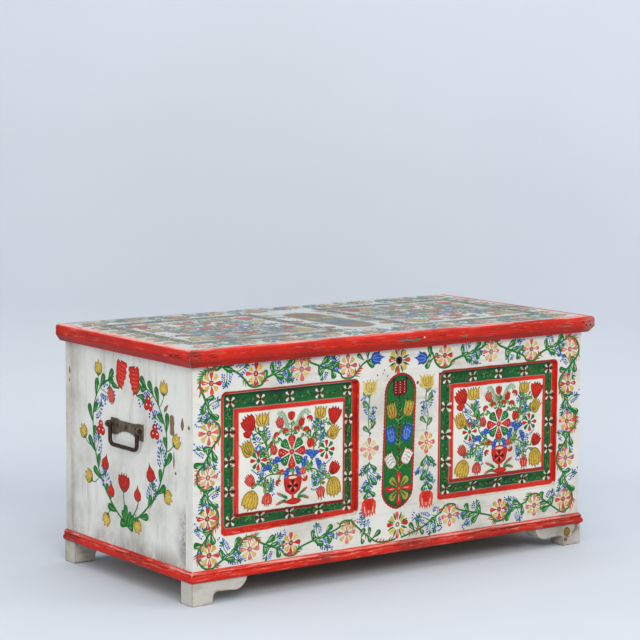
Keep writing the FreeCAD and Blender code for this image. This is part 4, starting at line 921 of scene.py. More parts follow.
# the wreath on each end, by shares of the end's half width and of its height
WREATH_BRANCHES = (
    (1, ((0, 0.12), (0.2, 0.19), (0.4, 0.31), (0.5, 0.44), (0.54, 0.56), (0.52, 0.68), (0.42, 0.77),
         (0.2, 0.84))),
    (-1, ((0, 0.12), (-0.24, 0.2), (-0.46, 0.32), (-0.58, 0.46), (-0.62, 0.6), (-0.54, 0.71), (-0.42, 0.79),
          (-0.24, 0.83))),
)
# Leaves of a branch: share of its length, outer or inner side, and length.
WREATH_LEAVES = ((0.14, 1, 38), (0.2, -1, 30), (0.3, 1, 42), (0.37, -1, 32), (0.45, 1, 44), (0.52, -1, 28),
                 (0.62, 1, 44), (0.68, -1, 30), (0.78, 1, 42), (0.86, 1, 36), (0.95, 1, 34), (0.97, -1, 24))
# Yellow buds: place, heading, and the root of their stalk.
WREATH_BUDS = (
    (0.45, 0.865, 92, (0.42, 0.77)), (-0.575, 0.84, 94, (-0.5, 0.74)), (0.7, 0.53, 56, (0.53, 0.47)),
    (0.615, 0.31, 28, (0.42, 0.33)), (0.33, 0.115, -58, (0.14, 0.17)), (-0.17, 0.13, 252, (-0.06, 0.15)),
    (-0.64, 0.32, 200, (-0.36, 0.24)), (-0.765, 0.6, 138, (-0.6, 0.54)),
)
# Red heads: place, kind, heading, size, width for its size, veins, and the root of their stalk.
WREATH_HEADS = (
    (0.245, 0.745, "striped", 252, 42, 0.66, 3, (0.4, 0.79)),
    (0.34, 0.4, "flame", 104, 36, 0.92, 0, (0.43, 0.33)), (0.045, 0.325, "red", 92, 44, 1.12, 3, (0.0, 0.14)),
    (0.25, 0.27, "flame", 92, 34, 0.92, 0, (0.2, 0.19)),
    (-0.17, 0.29, "flame", 90, 34, 0.92, 0, (-0.06, 0.15)),
    (-0.37, 0.41, "flame", 76, 40, 0.92, 0, (-0.47, 0.33)),
)
# The smooth back of a head with a ragged edge: along it and aside, in millimetres.
COMB_BACK = ((34, 8), (26, 4), (34, 18), (28, 24), (6, 25), (-16, 19), (-30, 8))
# Knocks and scrapes of the left end: place, heading, length and width.
END_WOUNDS = (
    (-0.695, 0.72, 268, 46, 19), (-0.64, 0.765, 312, 26, 10), (-0.85, 0.72, 270, 30, 13),
    (-0.945, 0.69, 270, 10, 9), (-0.725, 0.55, 270, 40, 6), (-0.75, 0.455, 270, 8, 8),
    (0.93, 0.84, 268, 18, 7), (0.935, 0.78, 268, 10, 5),
)


def end_place(a, b):
    """Shares of an end's half width and of its height, as a spot of its brushwork."""
    return (a * HALF_END, b * WALL_HEIGHT)


def solid_leaf(work, u, v, heading, length, width=16, bend=0.1):
    """A broad dark leaf with a light stroke, set down whatever lies under it."""
    work.dab(u, v, heading, 0, length, width, ("dark leaf", "leaf", "leaf"), 2, TEARDROP, bend)
    side = aim(u, v, heading, length * 0.3, width * 0.1)
    work.dab(*side, heading, 0, length * 0.5, width * 0.22, ("leaf", "light leaf"), 3, TICK, bend)


def wreath_branch(work, side, points):
    """One green branch that rises from the root round the handle, with its leaves and sprigs."""
    line = work.line([end_place(*p) for p in points], 5.4, 3.2, GREEN, 1, 5)
    last = len(line) - 1
    for share, out, length in WREATH_LEAVES:
        index = int(share * last)
        heading = heading_to(line[index], line[min(last, index + 1)])
        width = 18 if out > 0 else 15
        solid_leaf(work, *line[index], heading - out * side * 32, length * 1.06, width, out * side * 0.16)
    for share, length, turn in ((0.24, 44, 46), (0.44, 42, 50), (0.66, 44, 58), (0.86, 46, 62)):
        index = int(share * last)
        heading = heading_to(line[index], line[index + 1])
        sprig(work, *line[index], heading + side * turn, length, -side * 0.2, 18, 1.4)


def wreath_bud(work, a, b, heading, root):
    """A round yellow bud on a bent stalk."""
    place = end_place(a, b)
    start, foot = end_place(*root), aim(*place, heading + 180, 24)
    middle_u, middle_v = midway(start, foot)
    lift = 9 if math.sin(math.radians(heading)) < 0 else -4
    work.line([start, (middle_u, middle_v + lift), foot, place], 2.4, 2.4, GREEN, 1)
    work.patch(cut(*place, heading, 34, 35, ROUND_BUD), place, ("brown ochre", "ochre"), 3)
    for lean in (-1, 1):
        work.dab(*aim(*place, heading, -10), heading + lean * 14, 0, 22, 3, "pale ochre", 4, TICK)
        work.dab(*aim(*place, heading, -20), heading + lean * 34, 0, 10, 7, GREEN, 4)


def wreath_comb(work, side, a, b, heading):
    """A red head with a ragged edge, at the open top of the wreath."""
    place = end_place(a, b)
    ragged = [aim(*place, heading, -33 + 66 * step / 9, side * (8 + 14 * min(1, step / 5) - 5 * (step % 2)))
              for step in range(10)]
    smooth = [aim(*place, heading, along, -side * aside) for along, aside in COMB_BACK]
    work.patch((ragged + smooth)[::-side], place, RED, 4, 0.84)
    for step in range(6):
        work.dab(*aim(*place, heading, -22 + 9 * step, 15), heading - 96, 0, 30, 2.4, "salmon", 5, TICK, 0.2)
    for lean in (-1, 1):
        foot = aim(*place, heading, -34, -side * 6)
        solid_leaf(work, *foot, heading + side * lean * 30 - side * 60, 34, 14)


def wreath_head(work, a, b, kind, heading, size, wide, veins, root):
    """A red head on a straight stalk."""
    place = end_place(a, b)
    work.line([end_place(*root), aim(*place, heading + 180, size * 0.8), place], 4.2, 3.4, GREEN, 1)
    tulip(work, *place, heading, size, size * wide, kind, 3, veins)
    work.dab(*aim(*place, heading, -size * 0.56), heading, 0, size * 0.26, 8, GREEN, 4)


def wreath(work):
    """Two green branches round the handle, open at the top, with their leaves, buds, heads and berries."""
    for side, points in WREATH_BRANCHES:
        wreath_branch(work, side, points)
    for turn, length, width in ((172, 28, 22), (8, 30, 22), (110, 40, 15), (78, 50, 18), (56, 40, 16),
                                (132, 42, 14), (146, 52, 12)):
        solid_leaf(work, *end_place(0, 0.115), turn, length, width)
    for bud in WREATH_BUDS:
        wreath_bud(work, *bud)
    wreath_comb(work, 1, 0.075, 0.855, 98)
    wreath_comb(work, -1, -0.12, 0.84, 84)
    for head in WREATH_HEADS:
        wreath_head(work, *head)
    for place in ((0.415, 0.565), (-0.437, 0.615), (-0.34, 0.745)):
        berries(work, *end_place(*place), 16)


left_end = Brushwork((-END_X, MID_Y, WALL_LOW), (0, 1, 0), (0, 0, 1), (-1, 0, 0))
right_end = Brushwork((END_X, MID_Y, WALL_LOW), (0, 1, 0), (0, 0, 1), (1, 0, 0))
wreath(left_end)
for a, b, heading, length, width in END_WOUNDS:
    shape = SCAR if length > 40 else LEAF
    left_end.dab(*end_place(a, b), heading, 0, length, width, ("wound rim", "wound"), 0, shape)
wreath(right_end)

# the worn painting on the lid
LID_WASH = 0.12
FLAT = ((1, 0, 0), (0, 1, 0), (0, 0, 1))
lid = Brushwork((0, (LID_LOW.y + LID_HIGH.y) / 2, LID_TOP), *FLAT, LID_WASH)
LID_EDGE_ROOM = 4
lid.open_ground = lambda u, v: abs(u) < HALF_LID - LID_EDGE_ROOM and abs(v) < HALF_LID_DEPTH - LID_EDGE_ROOM
LID_HAIRS = (GREEN, *(("dark leaf", "grey green"),) * 2, ("deep blue", "blue"), ("red", "salmon"))


def lid_place(a, b):
    """Shares of the lid's half width and half depth, as a spot of its brushwork."""
    return (a * HALF_LID, b * HALF_LID_DEPTH)


def frame_line(work, u, v, width, paint, coat):
    """Four straight strokes round a rectangle, the upright ones between the others."""
    half = width / 2
    for start, end in (((-u - half, -v), (u + half, -v)), ((-u - half, v), (u + half, v)),
                       ((-u, half - v), (-u, v - half)), ((u, half - v), (u, v - half))):
        work.ribbon([start, midway(start, end), end], [half] * 3, (paint, paint), coat)


def lid_field(a_left, a_right):
    """A bouquet in a double frame, with hairs scattered over it."""
    left, low = lid_place(a_left, -0.69)
    right, high = lid_place(a_right, 0.64)
    work = Brushwork(lid.spot((left + right) / 2, (low + high) / 2, 0), *FLAT, LID_WASH)
    half_u, half_v = (right - left) / 2, (high - low) / 2
    frame_line(work, half_u, half_v, 34, ("salmon", 0.4), 0)
    frame_line(work, half_u, half_v, 27, ("grey green", 0.0), 1)
    for index in range(26):
        share = -1 + 2 * (index % 13) / 12
        side = 1 if index < 13 else -1
        spot = (share * half_u, half_v * side) if index % 2 else (side * half_u, share * half_v)
        small_cross(work, *spot, 13, 2)
    bouquet(work, half_u - 22, half_v - 24)
    for _ in range(110):
        place = (chance.uniform(-0.9, 0.9) * half_u, chance.uniform(-0.86, 0.86) * half_v)
        paints = chance.choice(LID_HAIRS)
        for turn in (-34, 0, 34):
            work.dab(*place, 90 + chance.uniform(-60, 60) + turn, 0, chance.uniform(13, 22), 6.5, paints, 0)
    return work


lid_fields = [lid_field(-0.9, -0.2), lid_field(0.18, 0.88)]
for edge in (0.855, -0.86):
    row = [lid_place(-0.9 + 1.8 * index / 9, edge) for index in range(10)]
    for spot in row:
        border_flower(lid, *spot, 26)
    border_vine(lid, row, (BELOW, ABOVE) * 5, [aim(*row[0], 180, 36)], [aim(*row[-1], 0, 36)], 29)
for edge in (-0.953, 0.94):
    for share in (-0.58, -0.3, -0.02, 0.26, 0.54):
        border_flower(lid, *lid_place(edge, share), 22)
        for turn in (70, 110, 160, 20):
            leaf(lid, *lid_place(edge, share + 0.14), turn, 24, 11)
LID_OVAL = lid_place(-0.01, -0.03)
lid.patch(capsule(*LID_OVAL, 52, 158, 100, 0.6), LID_OVAL, (("salmon", 0.3), ("salmon", 0.3)), 0, 0.9)
lid.patch(capsule(*LID_OVAL, 46, 151, 90, 0.4), LID_OVAL, (("grey green", 0.1), ("dark leaf", 0.2)), 1, 0.8)
for share, kind in ((0.36, "red"), (0.1, "yellow"), (-0.18, "blue")):
    for side in (-1, 1):
        tulip(lid, *lid_place(-0.01 + side * 0.038, share), 90 - side * 20, 40, 32, kind, 4)
round_flower(lid, *lid_place(-0.01, -0.42), 28)
for side in (-1, 1):
    column = -0.01 + side * 0.145
    for share, kind in ((0.5, "pale"), (-0.45, "red"), (0.02, "pink")):
        tulip(lid, *lid_place(column, share), 90, 34, 30, kind)
        leaf(lid, *lid_place(column, share - 0.1), 250, 26, 11)
        sprig(lid, *lid_place(column, share - 0.14), 290, 26, 0.3)

# scratches and chips on the lid's moulding
rim_front = Brushwork((0, RIM_LOW.y, RIM_MIDDLE))
rim_left = Brushwork((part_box("lid_left_moulding")[0].x, 0, RIM_MIDDLE), (0, 1, 0), (0, 0, 1), (-1, 0, 0))
# Groups of scratches: where they begin and end, how many, and their paints.
for work, first, last, count, paints in (
        (rim_front, -590, -540, 9, ("black", "bark")),
        (rim_front, -60, 20, 14, ("brown ochre", "grey green", "bark")),
        (rim_front, -175, -110, 5, ("bark", "deep red")),
        (rim_front, 430, 590, 12, ("bark", "wound", "grey green")),
        (rim_front, -500, 540, 26, ("deep red", "salmon", "bark")),
        (rim_left, -285, -215, 12, ("black", "bark")),
        (rim_left, -200, 280, 12, ("deep red", "salmon", "bark"))):
    for _ in range(count):
        paint = chance.choice(paints)
        place = chance.uniform(first, last)
        work.dab(place, chance.uniform(-5, 5), (0 if place < 0 else 180) + chance.uniform(-6, 6), 0,
                 chance.uniform(8, 30), chance.uniform(0.8, 2.2), paint, 0, LEAF)
rim_front.blob(57, 1, 2.8, 2.4, ("rose", "white"), 1, 0, 8)
for place, long in ((8, 34), (-8, 26), (26, 20), (168, 20), (174, 16), (170, 12)):
    rim_front.dab(place, chance.uniform(-7, -2), chance.uniform(-4, 4), 0, long, 5,
                  ("brown ochre", "grey green"), 0, LEAF)
for place in ((560, 3), (571, -5), (580, 4), (584, -4)):
    rim_front.blob(*place, 2.4, 2.2, "black", 1, 0, 8)

# the wooden plug in the right foot
PLUG_X, PLUG_Z = 0.536, 0.0345
plug = Brushwork((PLUG_X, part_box("front_right_foot")[0].y, PLUG_Z))
plug.blob(0, 0, 10.5, 11.5, ("wound rim", "brown ochre"), 0, 0, 20)
plug.blob(0.5, 0.5, 6.5, 8, ("wound", "brown ochre"), 1, 0, 14)


# shader helpers
class Wiring:
    """Short words for the nodes of one shader tree."""

    def __init__(self, tree):
        self.tree = tree

    def put(self, socket, value):
        """Links a socket, or sets it."""
        if isinstance(value, bpy.types.NodeSocket):
            self.tree.links.new(value, socket)
        else:
            socket.default_value = value

    def add(self, kind, inputs=None, **settings):
        """A new node with its settings, and its inputs set or linked."""
        made = self.tree.nodes.new("ShaderNode" + kind)
        for name, value in settings.items():
            setattr(made, name, value)
        for name, value in (inputs or {}).items():
            self.put(made.inputs[name], value)
        return made

    def sums(self, operation, *values):
        """One step of arithmetic."""
        return self.add("Math", dict(enumerate(values)), operation=operation).outputs[0]

    def plus(self, a, b):
        return self.sums("ADD", a, b)

    def minus(self, a, b):
        return self.sums("SUBTRACT", a, b)

    def times(self, a, b):
        return self.sums("MULTIPLY", a, b)

    def most(self, a, b):
        return self.sums("MAXIMUM", a, b)

    def size(self, a):
        return self.sums("ABSOLUTE", a)

    def mixed(self, share, first, second, blend_type="MIX"):
        """Two colours mixed by a share."""
        made = self.add("Mix", {0: share, 6: first, 7: second}, data_type="RGBA", blend_type=blend_type)
        return made.outputs[2]

    def ramp(self, value, low, high):
        """0 below low, 1 above high, smooth between."""
        inputs = {"Value": value, "From Min": low, "From Max": high}
        return self.add("MapRange", inputs, interpolation_type="SMOOTHSTEP").outputs["Result"]

    def noise(self, place, scale, detail=4.0, rough=0.6):
        """Uneven patches from 0 to 1."""
        inputs = {"Vector": place, "Scale": scale, "Detail": detail, "Roughness": rough}
        return self.add("TexNoise", inputs).outputs["Fac"]

    def streaks(self, place, by, scale, detail, rough):
        """Noise drawn out along the axis whose factor is the smallest."""
        place = self.add("VectorMath", {0: place, 1: by}, operation="MULTIPLY").outputs[0]
        return self.noise(place, scale, detail, rough)


def new_group(name, inputs, outputs):
    """A shader group with named inputs and outputs: its wiring, what it is given and what it puts out."""
    tree = bpy.data.node_groups.new(name, "ShaderNodeTree")
    for sockets, way in ((inputs, "INPUT"), (outputs, "OUTPUT")):
        for label, kind in sockets.items():
            tree.interface.new_socket(label, in_out=way, socket_type="NodeSocket" + kind)
    return Wiring(tree), tree.nodes.new("NodeGroupInput").outputs, tree.nodes.new("NodeGroupOutput").inputs


def brushed_group():
    """Old brushed paint: broad clouds, streaks along the brush, fine specks of grime."""
    t, given, out = new_group(
        "brushed_paint",
        {"Place": "Vector", "Paint": "Color", "Grime": "Color", "Stroke": "Vector", "Dirt": "Float"},
        {"Color": "Color", "Height": "Float"})
    place, grime, dirt = given["Place"], given["Grime"], given["Dirt"]
    clouds = t.noise(place, 5.0, 5.0, 0.62)
    streaks = t.streaks(place, given["Stroke"], 1.0, 6.0, 0.68)
    specks = t.noise(place, 210.0, 3.0, 0.7)
    colour = t.mixed(t.times(t.ramp(clouds, 0.42, 0.74), dirt), given["Paint"], grime)
    colour = t.mixed(t.times(t.ramp(streaks, 0.5, 0.78), dirt), colour, grime)
    colour = t.mixed(t.times(t.ramp(specks, 0.62, 0.76), t.times(dirt, 0.9)), colour, grime)
    t.put(out["Color"], colour)
    t.put(out["Height"], t.plus(streaks, t.times(specks, 0.3)))
    return t.tree


def chipped_group():
    """Where paint has gone: along sharp edges and in scattered chips."""
    t, given, out = new_group("chipped_paint",
                              {"Place": "Vector", "Chips": "Float", "Edges": "Float", "Width": "Float"},
                              {"Mask": "Float"})
    rounded = t.add("Bevel", {"Radius": given["Width"]}, samples=4).outputs[0]
    flat = t.add("NewGeometry").outputs["Normal"]
    facing = t.add("VectorMath", {0: rounded, 1: flat}, operation="DOT_PRODUCT").outputs["Value"]
    edge = t.ramp(facing, 0.995, 0.86)
    ragged = t.noise(given["Place"], 42.0, 5.0, 0.7)
    large = t.noise(given["Place"], 9.0, 3.0, 0.6)
    bite = t.plus(t.times(edge, given["Edges"]), t.times(ragged, 0.55))
    bite = t.plus(bite, t.times(large, given["Chips"]))
    t.put(out["Mask"], t.ramp(bite, 0.66, 0.7))
    return t.tree


def timber_group():
    """Old softwood: rings drawn out along the grain, darker streaks and pores."""
    t, given, out = new_group("bare_timber",
                              {"Place": "Vector", "Light": "Color", "Dark": "Color", "Grain": "Vector"},
                              {"Color": "Color", "Height": "Float"})
    along = t.add("VectorMath", {0: given["Place"], 1: given["Grain"]}, operation="MULTIPLY").outputs[0]
    rings = t.sums("FRACT", t.times(t.noise(along, 0.55, 3.0, 0.5), 9.0))
    fibre = t.noise(along, 3.2, 6.0, 0.7)
    shade = t.plus(t.times(rings, 0.5), t.times(fibre, 0.6))
    t.put(out["Color"], t.mixed(t.ramp(shade, 0.25, 0.95), given["Light"], given["Dark"]))
    t.put(out["Height"], fibre)
    return t.tree


BRUSHED, CHIPPED, TIMBER = brushed_group(), chipped_group(), timber_group()
# How strongly a pattern is squeezed along X, Y and Z: the smallest number is the way of the grain or brush.
ALONG_X, ALONG_Y, ALONG_Z = (1.2, 50, 50), (50, 1.2, 50), (50, 50, 1.2)
LONG_BRUSH, CROSS_BRUSH = (5, 60, 60), (60, 5, 60)
FRONT_BRUSH, END_BRUSH, LID_BRUSH = (9, 9, 60), (60, 60, 6), (5, 70, 70)
BAND_BRUSH, FIELD_BRUSH, FOOT_BRUSH = (30, 30, 90), (40, 40, 14), (14, 14, 60)
EVEN_BRUSH, RUBBING = (60, 60, 60), (7, 7, 4)
WHITE = linear(222, 219, 210)
GREY_DIRT = linear(168, 160, 142)
LID_WHITE = linear(184, 188, 186)
LID_GREY = linear(100, 112, 108)
BRIGHT_RED = linear(200, 32, 12)
DARK_RED = linear(128, 20, 12)
PINE, DARK_PINE = linear(180, 146, 104), linear(132, 97, 62)
# Colours of single places: grounds, dirt, wear, painted shade and highlight, woods, irons and the studio.
TONES = {
    "window red": (210, 44, 26), "shaded red": (132, 26, 22), "band green": (24, 94, 46),
    "band dirt": (18, 44, 34), "field white": (226, 223, 212), "paint seam": (176, 150, 138),
    "keyhole dirt": (58, 44, 36), "worn pink": (222, 196, 178), "pink dirt": (150, 122, 100),
    "end white": (226, 225, 218), "end dirt": (160, 154, 140), "end soot": (104, 92, 80),
    "thin paint": (196, 190, 180), "crest pink": (232, 176, 160), "red stain": (124, 34, 26),
    "scuffed pink": (238, 162, 142), "under red": (112, 18, 8), "left knock": (104, 44, 34),
    "right knock": (158, 116, 104), "foot white": (194, 190, 180), "foot dirt": (134, 124, 108),
    "foot wood": (150, 118, 84), "dark foot wood": (92, 66, 44), "rubbed iron": (150, 140, 126),
    "peg wood": (150, 106, 62), "dark peg wood": (92, 58, 32), "iron": (52, 44, 38), "rust": (74, 52, 36),
    "plate": (112, 98, 80), "plate rust": (84, 66, 48), "floor": (202, 208, 216), "backdrop": (206, 213, 223),
}
TONE = {name: linear(*steps) for name, steps in TONES.items()}


class Finish(Wiring):
    """A material's own shader, with the place on the object at rest."""

    def __init__(self, name):
        self.material = bpy.data.materials.new(name)
        self.material.use_nodes = True
        super().__init__(self.material.node_tree)
        self.tree.nodes.clear()
        self.shader = self.add("BsdfPrincipled")
        self.add("OutputMaterial", {"Surface": self.shader.outputs[0]})
        self.place = self.add("TexCoord").outputs["Object"]

    def parts(self):
        """The place's X, Y and Z, in metres."""
        return self.add("SeparateXYZ", {0: self.place}).outputs

    def brushed(self, stroke, dirt, paint=WHITE, grime=GREY_DIRT):
        """Old brushed paint: its colour and its height."""
        inputs = {"Place": self.place, "Paint": paint, "Grime": grime, "Stroke": stroke, "Dirt": dirt}
        return self.add("Group", inputs, node_tree=BRUSHED).outputs

    def chipped(self, chips, edges, width):
        """Where paint has gone."""
        inputs = {"Place": self.place, "Chips": chips, "Edges": edges, "Width": width}
        return self.add("Group", inputs, node_tree=CHIPPED).outputs["Mask"]

    def timber(self, grain=ALONG_X, light=PINE, dark=DARK_PINE):
        """Bare wood: its colour and its height."""
        inputs = {"Place": self.place, "Light": light, "Dark": dark, "Grain": grain}
        return self.add("Group", inputs, node_tree=TIMBER).outputs

    def red_paint(self, stroke, edges, chips, paint=BRIGHT_RED):
        """Red paint worn down to pink: its colour, its height and where it is worn."""
        coat = self.brushed(stroke, 0.75, paint, DARK_RED)
        worn = self.chipped(chips, edges, 0.0025)
        under = self.brushed(stroke, 0.7, TONE["worn pink"], TONE["pink dirt"])
        return self.mixed(worn, coat["Color"], under["Color"]), coat["Height"], worn

    def surface(self, colour, rough, height, depth=0.0004, gloss=0.5):
        """Ends the shader, with bumps as deep as asked, and gives its material."""
        bump = self.add("Bump", {"Height": height, "Distance": depth, "Strength": 0.6}).outputs[0]
        ends = {"Base Color": colour, "Roughness": rough, "Specular IOR Level": gloss, "Normal": bump}
        for name, value in ends.items():
            self.put(self.shader.inputs[name], value)
        return self.material


# The painted frames round the windows, from the outside in: the roundness of the corners, how far the low
# edge leans in the left panel, and, for the left and the right panel, how far the inner, outer, low and high
# edges lie past the window's own. Lengths are in millimetres.
FRAMES = (
    (14, -0.026, (-4, 3.5, -2, 6), (4, 2, 3.5, 5)),
    (13, -0.026, (11, -9, 12, 1), (13, -10, 17, -2)),
    (0, 0.0, (31, -34, 31, -35), (37, -35, 44, -32)),
    (0, 0.0, (43, -44.5, 41, -45), (47, -47.5, 53, -41)),
)


def frame_distance(t, parts, corner, lean, left, right):
    """How far a spot of the front is outside a painted frame and below it, in metres; inside is negative."""
    side, across = t.sums("SIGN", parts["X"]), t.size(parts["X"])
    inner, outer, low, high = (
        t.plus(start + (a + b) / 2 * MM, t.times(side, (b - a) / 2 * MM))
        for start, a, b in zip((WINDOW_IN, WINDOW_OUT, WINDOW_LOW, WINDOW_HIGH), left, right))
    on_left = t.times(t.minus(1.0, side), lean / 2)
    low = t.plus(low, t.times(on_left, t.minus(across, FIELD_X)))
    past = [t.plus(t.most(t.minus(near, value), t.minus(value, far)), corner * MM)
            for near, value, far in ((inner, across, outer), (low, parts["Z"], high))]
    outside = [t.sums("POWER", t.most(value, 0.0), 2.0) for value in past]
    inside = t.sums("MINIMUM", t.most(*past), 0.0)
    reach = t.minus(t.plus(t.sums("SQRT", t.plus(*outside)), inside), corner * MM)
    return reach, t.minus(low, parts["Z"])


def front_finish():
    """The front: white ground, and round each window a red line, the green band and a second red line, with
    painted shade on the outer line's top and the inner line's foot.
    """
    t = Finish("front_paint")
    parts = t.parts()
    wobble = t.times(t.minus(t.noise(t.place, 34.0, 3.0), 0.5), 0.0035)
    ground = t.brushed(FRONT_BRUSH, 0.6)
    red = t.red_paint(EVEN_BRUSH, 0.2, 0.3, TONE["window red"])[0]
    distances = [frame_distance(t, parts, *edges) for edges in FRAMES]
    # Painted shade: the outer red darkens along the window's top edge, and the inner red darkens below the
    # white field's low edge.
    shades = (t.ramp(parts["Z"], WINDOW_HIGH - 0.006, WINDOW_HIGH - 0.001),
              t.ramp(distances[-1][1], -0.0006, 0.0006))
    outer_red, inner_red = (t.mixed(t.times(shade, 0.75), red, TONE["shaded red"]) for shade in shades)
    green = t.brushed(BAND_BRUSH, 1.0, TONE["band green"], TONE["band dirt"])["Color"]
    colour = t.brushed(FIELD_BRUSH, 0.5, TONE["field white"])["Color"]
    for paint, (distance, _) in zip((inner_red, green, outer_red, ground["Color"]), reversed(distances)):
        reach = t.plus(distance, wobble)
        colour = t.mixed(t.ramp(reach, -0.0004, 0.0004), colour, paint)
        seam = t.ramp(t.size(reach), 0.0014, 0.0005)
        colour = t.mixed(t.times(seam, 0.45), colour, TONE["paint seam"])
    keyhole = [t.sums("POWER", value, 2.0) for value in (parts["X"], t.minus(parts["Z"], KEYHOLE_Z))]
    keyhole = t.plus(t.sums("SQRT", t.plus(*keyhole)), t.times(wobble, 1.6))
    colour = t.mixed(t.ramp(keyhole, 0.0125, 0.0085), colour, TONE["keyhole dirt"])
    side = t.ramp(t.size(parts["X"]), END_X - 0.0004, END_X - 0.0002)
    colour = t.mixed(side, colour, t.brushed(END_BRUSH, 0.8)["Color"])
    inside = t.times(t.sums("GREATER_THAN", parts["Y"], FRONT_Y + 0.0135), t.minus(1.0, side))
    top_edge = t.sums("GREATER_THAN", parts["Z"], WALL_HIGH - 0.0005)
    colour = t.mixed(t.most(inside, top_edge), colour, t.timber()["Color"])
    return t.surface(colour, 0.6, ground["Height"], gloss=0.22)


def end_finish():
    """The ends: white ground, greyer and more worn than the front, bare wood inside."""
    t = Finish("end_paint")
    parts = t.parts()
    coat = t.brushed(END_BRUSH, 0.7, TONE["end white"], TONE["end dirt"])
    rubbed = t.streaks(t.place, RUBBING, 1.0, 6.0, 0.66)
    by_front = t.ramp(parts["Y"], FRONT_Y + 0.08, FRONT_Y + 0.02)
    low_patch = t.times(by_front, t.ramp(parts["Z"], WALL_LOW + 0.17, WALL_LOW + 0.1))
    by_edge = t.most(low_patch, t.times(0.55, t.ramp(parts["Z"], WALL_LOW + 0.05, WALL_LOW)))
    by_edge = t.most(by_edge, t.ramp(parts["Y"], BACK_Y - 0.05, BACK_Y))
    uneven = t.plus(rubbed, t.times(t.noise(t.place, 130.0), 0.25))
    soot = t.times(by_edge, t.ramp(uneven, 0.5, 0.74))
    painted = t.mixed(soot, coat["Color"], TONE["end soot"])
    inside = t.sums("LESS_THAN", t.size(parts["X"]), END_X - 0.0004)
    return t.surface(t.mixed(inside, painted, t.timber(ALONG_Y)["Color"]), 0.65, coat["Height"], gloss=0.2)


def lid_finish():
    """The lid's top: worn grey-white with long streaks; bare wood below."""
    t = Finish("lid_paint")
    coat = t.brushed(LID_BRUSH, 1.0, LID_WHITE, LID_GREY)
    below = t.sums("LESS_THAN", t.parts()["Z"], LID_TOP - 0.0005)
    return t.surface(t.mixed(below, coat["Color"], t.timber()["Color"]), 0.6, coat["Height"], gloss=0.3)


def stroke_finish(name, worn_share, ground, grime, stroke, dull=0.0):
    """Painted strokes: their own pigment, thin in places so that the ground shows through."""
    t = Finish(name)
    pigment = t.add("Attribute", attribute_name="pigment").outputs["Color"]
    streaks = t.noise(t.place, 260.0, 3.0, 0.7)
    dark = t.mixed(1.0, pigment, TONE["thin paint"], "MULTIPLY")
    colour = t.mixed(dull, t.mixed(t.ramp(streaks, 0.4, 0.7), pigment, dark), LID_GREY)
    patches = t.plus(t.times(t.noise(t.place, 14.0, 5.0, 0.7), 0.6),
                     t.times(t.noise(t.place, 120.0, 3.0, 0.7), 0.4))
    gone = t.ramp(patches, 0.72 - worn_share * 0.4, 0.8 - worn_share * 0.4)
    colour = t.mixed(gone, colour, t.brushed(stroke, 0.6, ground, grime)["Color"])
    return t.surface(colour, 0.6, streaks, 0.0002, 0.2)


def moulding_finish(name, stroke, crest, scuffed, shade, crest_sheen_left_only=False):
    """Bright red with darker brush marks, worn to pink in streaks; along its crest a pink line that is partly
    wear and partly painted highlight; painted shade underneath.
    """
    t = Finish(name)
    parts = t.parts()
    colour, height, worn = t.red_paint(stroke, 0.24, 0.31)
    rubbed = t.streaks(t.place, stroke, 1.6, 5.0, 0.7)
    # A pink line along the crest, partly wear and partly painted highlight; on the side mouldings it is
    # painted on the left one only.
    by_crest = t.ramp(t.size(t.minus(parts["Z"], crest)), 0.0032, 0.0008)
    edge = t.times(by_crest, t.ramp(rubbed, *((0.34, 0.54) if crest_sheen_left_only else (0.42, 0.62))))
    if crest_sheen_left_only:
        edge = t.times(edge, t.ramp(parts["X"], 0.1, -0.1))
    colour = t.mixed(t.times(edge, 0.8), colour, TONE["crest pink"])
    stains = t.ramp(t.noise(t.place, 11.0, 5.0, 0.7), 0.5, 0.68)
    colour = t.mixed(t.times(stains, scuffed), colour, TONE["red stain"])
    streaks = t.ramp(t.streaks(t.place, stroke, 3.4, 6.0, 0.75), 0.54, 0.66)
    colour = t.mixed(t.times(streaks, scuffed), colour, TONE["scuffed pink"])
    # Painted shade: the red darkens towards the moulding's underside, by the shade share.
    under = t.ramp(parts["Z"], crest - 0.019, crest - 0.024)
    colour = t.mixed(t.times(under, shade), colour, TONE["under red"])
    by_front = t.ramp(parts["Y"], RIM_LOW.y + 0.016, RIM_LOW.y)
    corner = t.times(by_front, t.ramp(t.size(parts["X"]), RIM_HIGH.x - 0.045, RIM_HIGH.x - 0.01))
    corner = t.times(corner, t.ramp(rubbed, 0.3, 0.6))
    knocked = t.mixed(t.ramp(parts["X"], -0.1, 0.1), TONE["left knock"], TONE["right knock"])
    return t.surface(t.mixed(corner, colour, knocked), t.plus(0.5, t.times(worn, 0.3)), height, gloss=0.2)


def foot_finish():
    """The feet: dirty white, chipped down to dark wood."""
    t = Finish("foot_paint")
    coat = t.brushed(FOOT_BRUSH, 1.0, TONE["foot white"], TONE["foot dirt"])
    bare = t.timber(ALONG_X, TONE["foot wood"], TONE["dark foot wood"])
    return t.surface(t.mixed(t.chipped(0.6, 0.32, 0.004), coat["Color"], bare["Color"]), 0.62, coat["Height"])


def timber_finish(name, grain, light=PINE, dark=DARK_PINE):
    """Unpainted pine; where a board reaches the chest's end face it has the ends' paint."""
    t = Finish(name)
    bare = t.timber(grain, light, dark)
    side = t.sums("GREATER_THAN", t.size(t.parts()["X"]), END_X - 0.0003)
    return t.surface(t.mixed(side, bare["Color"], t.brushed(END_BRUSH, 0.85)["Color"]), 0.7, bare["Height"])


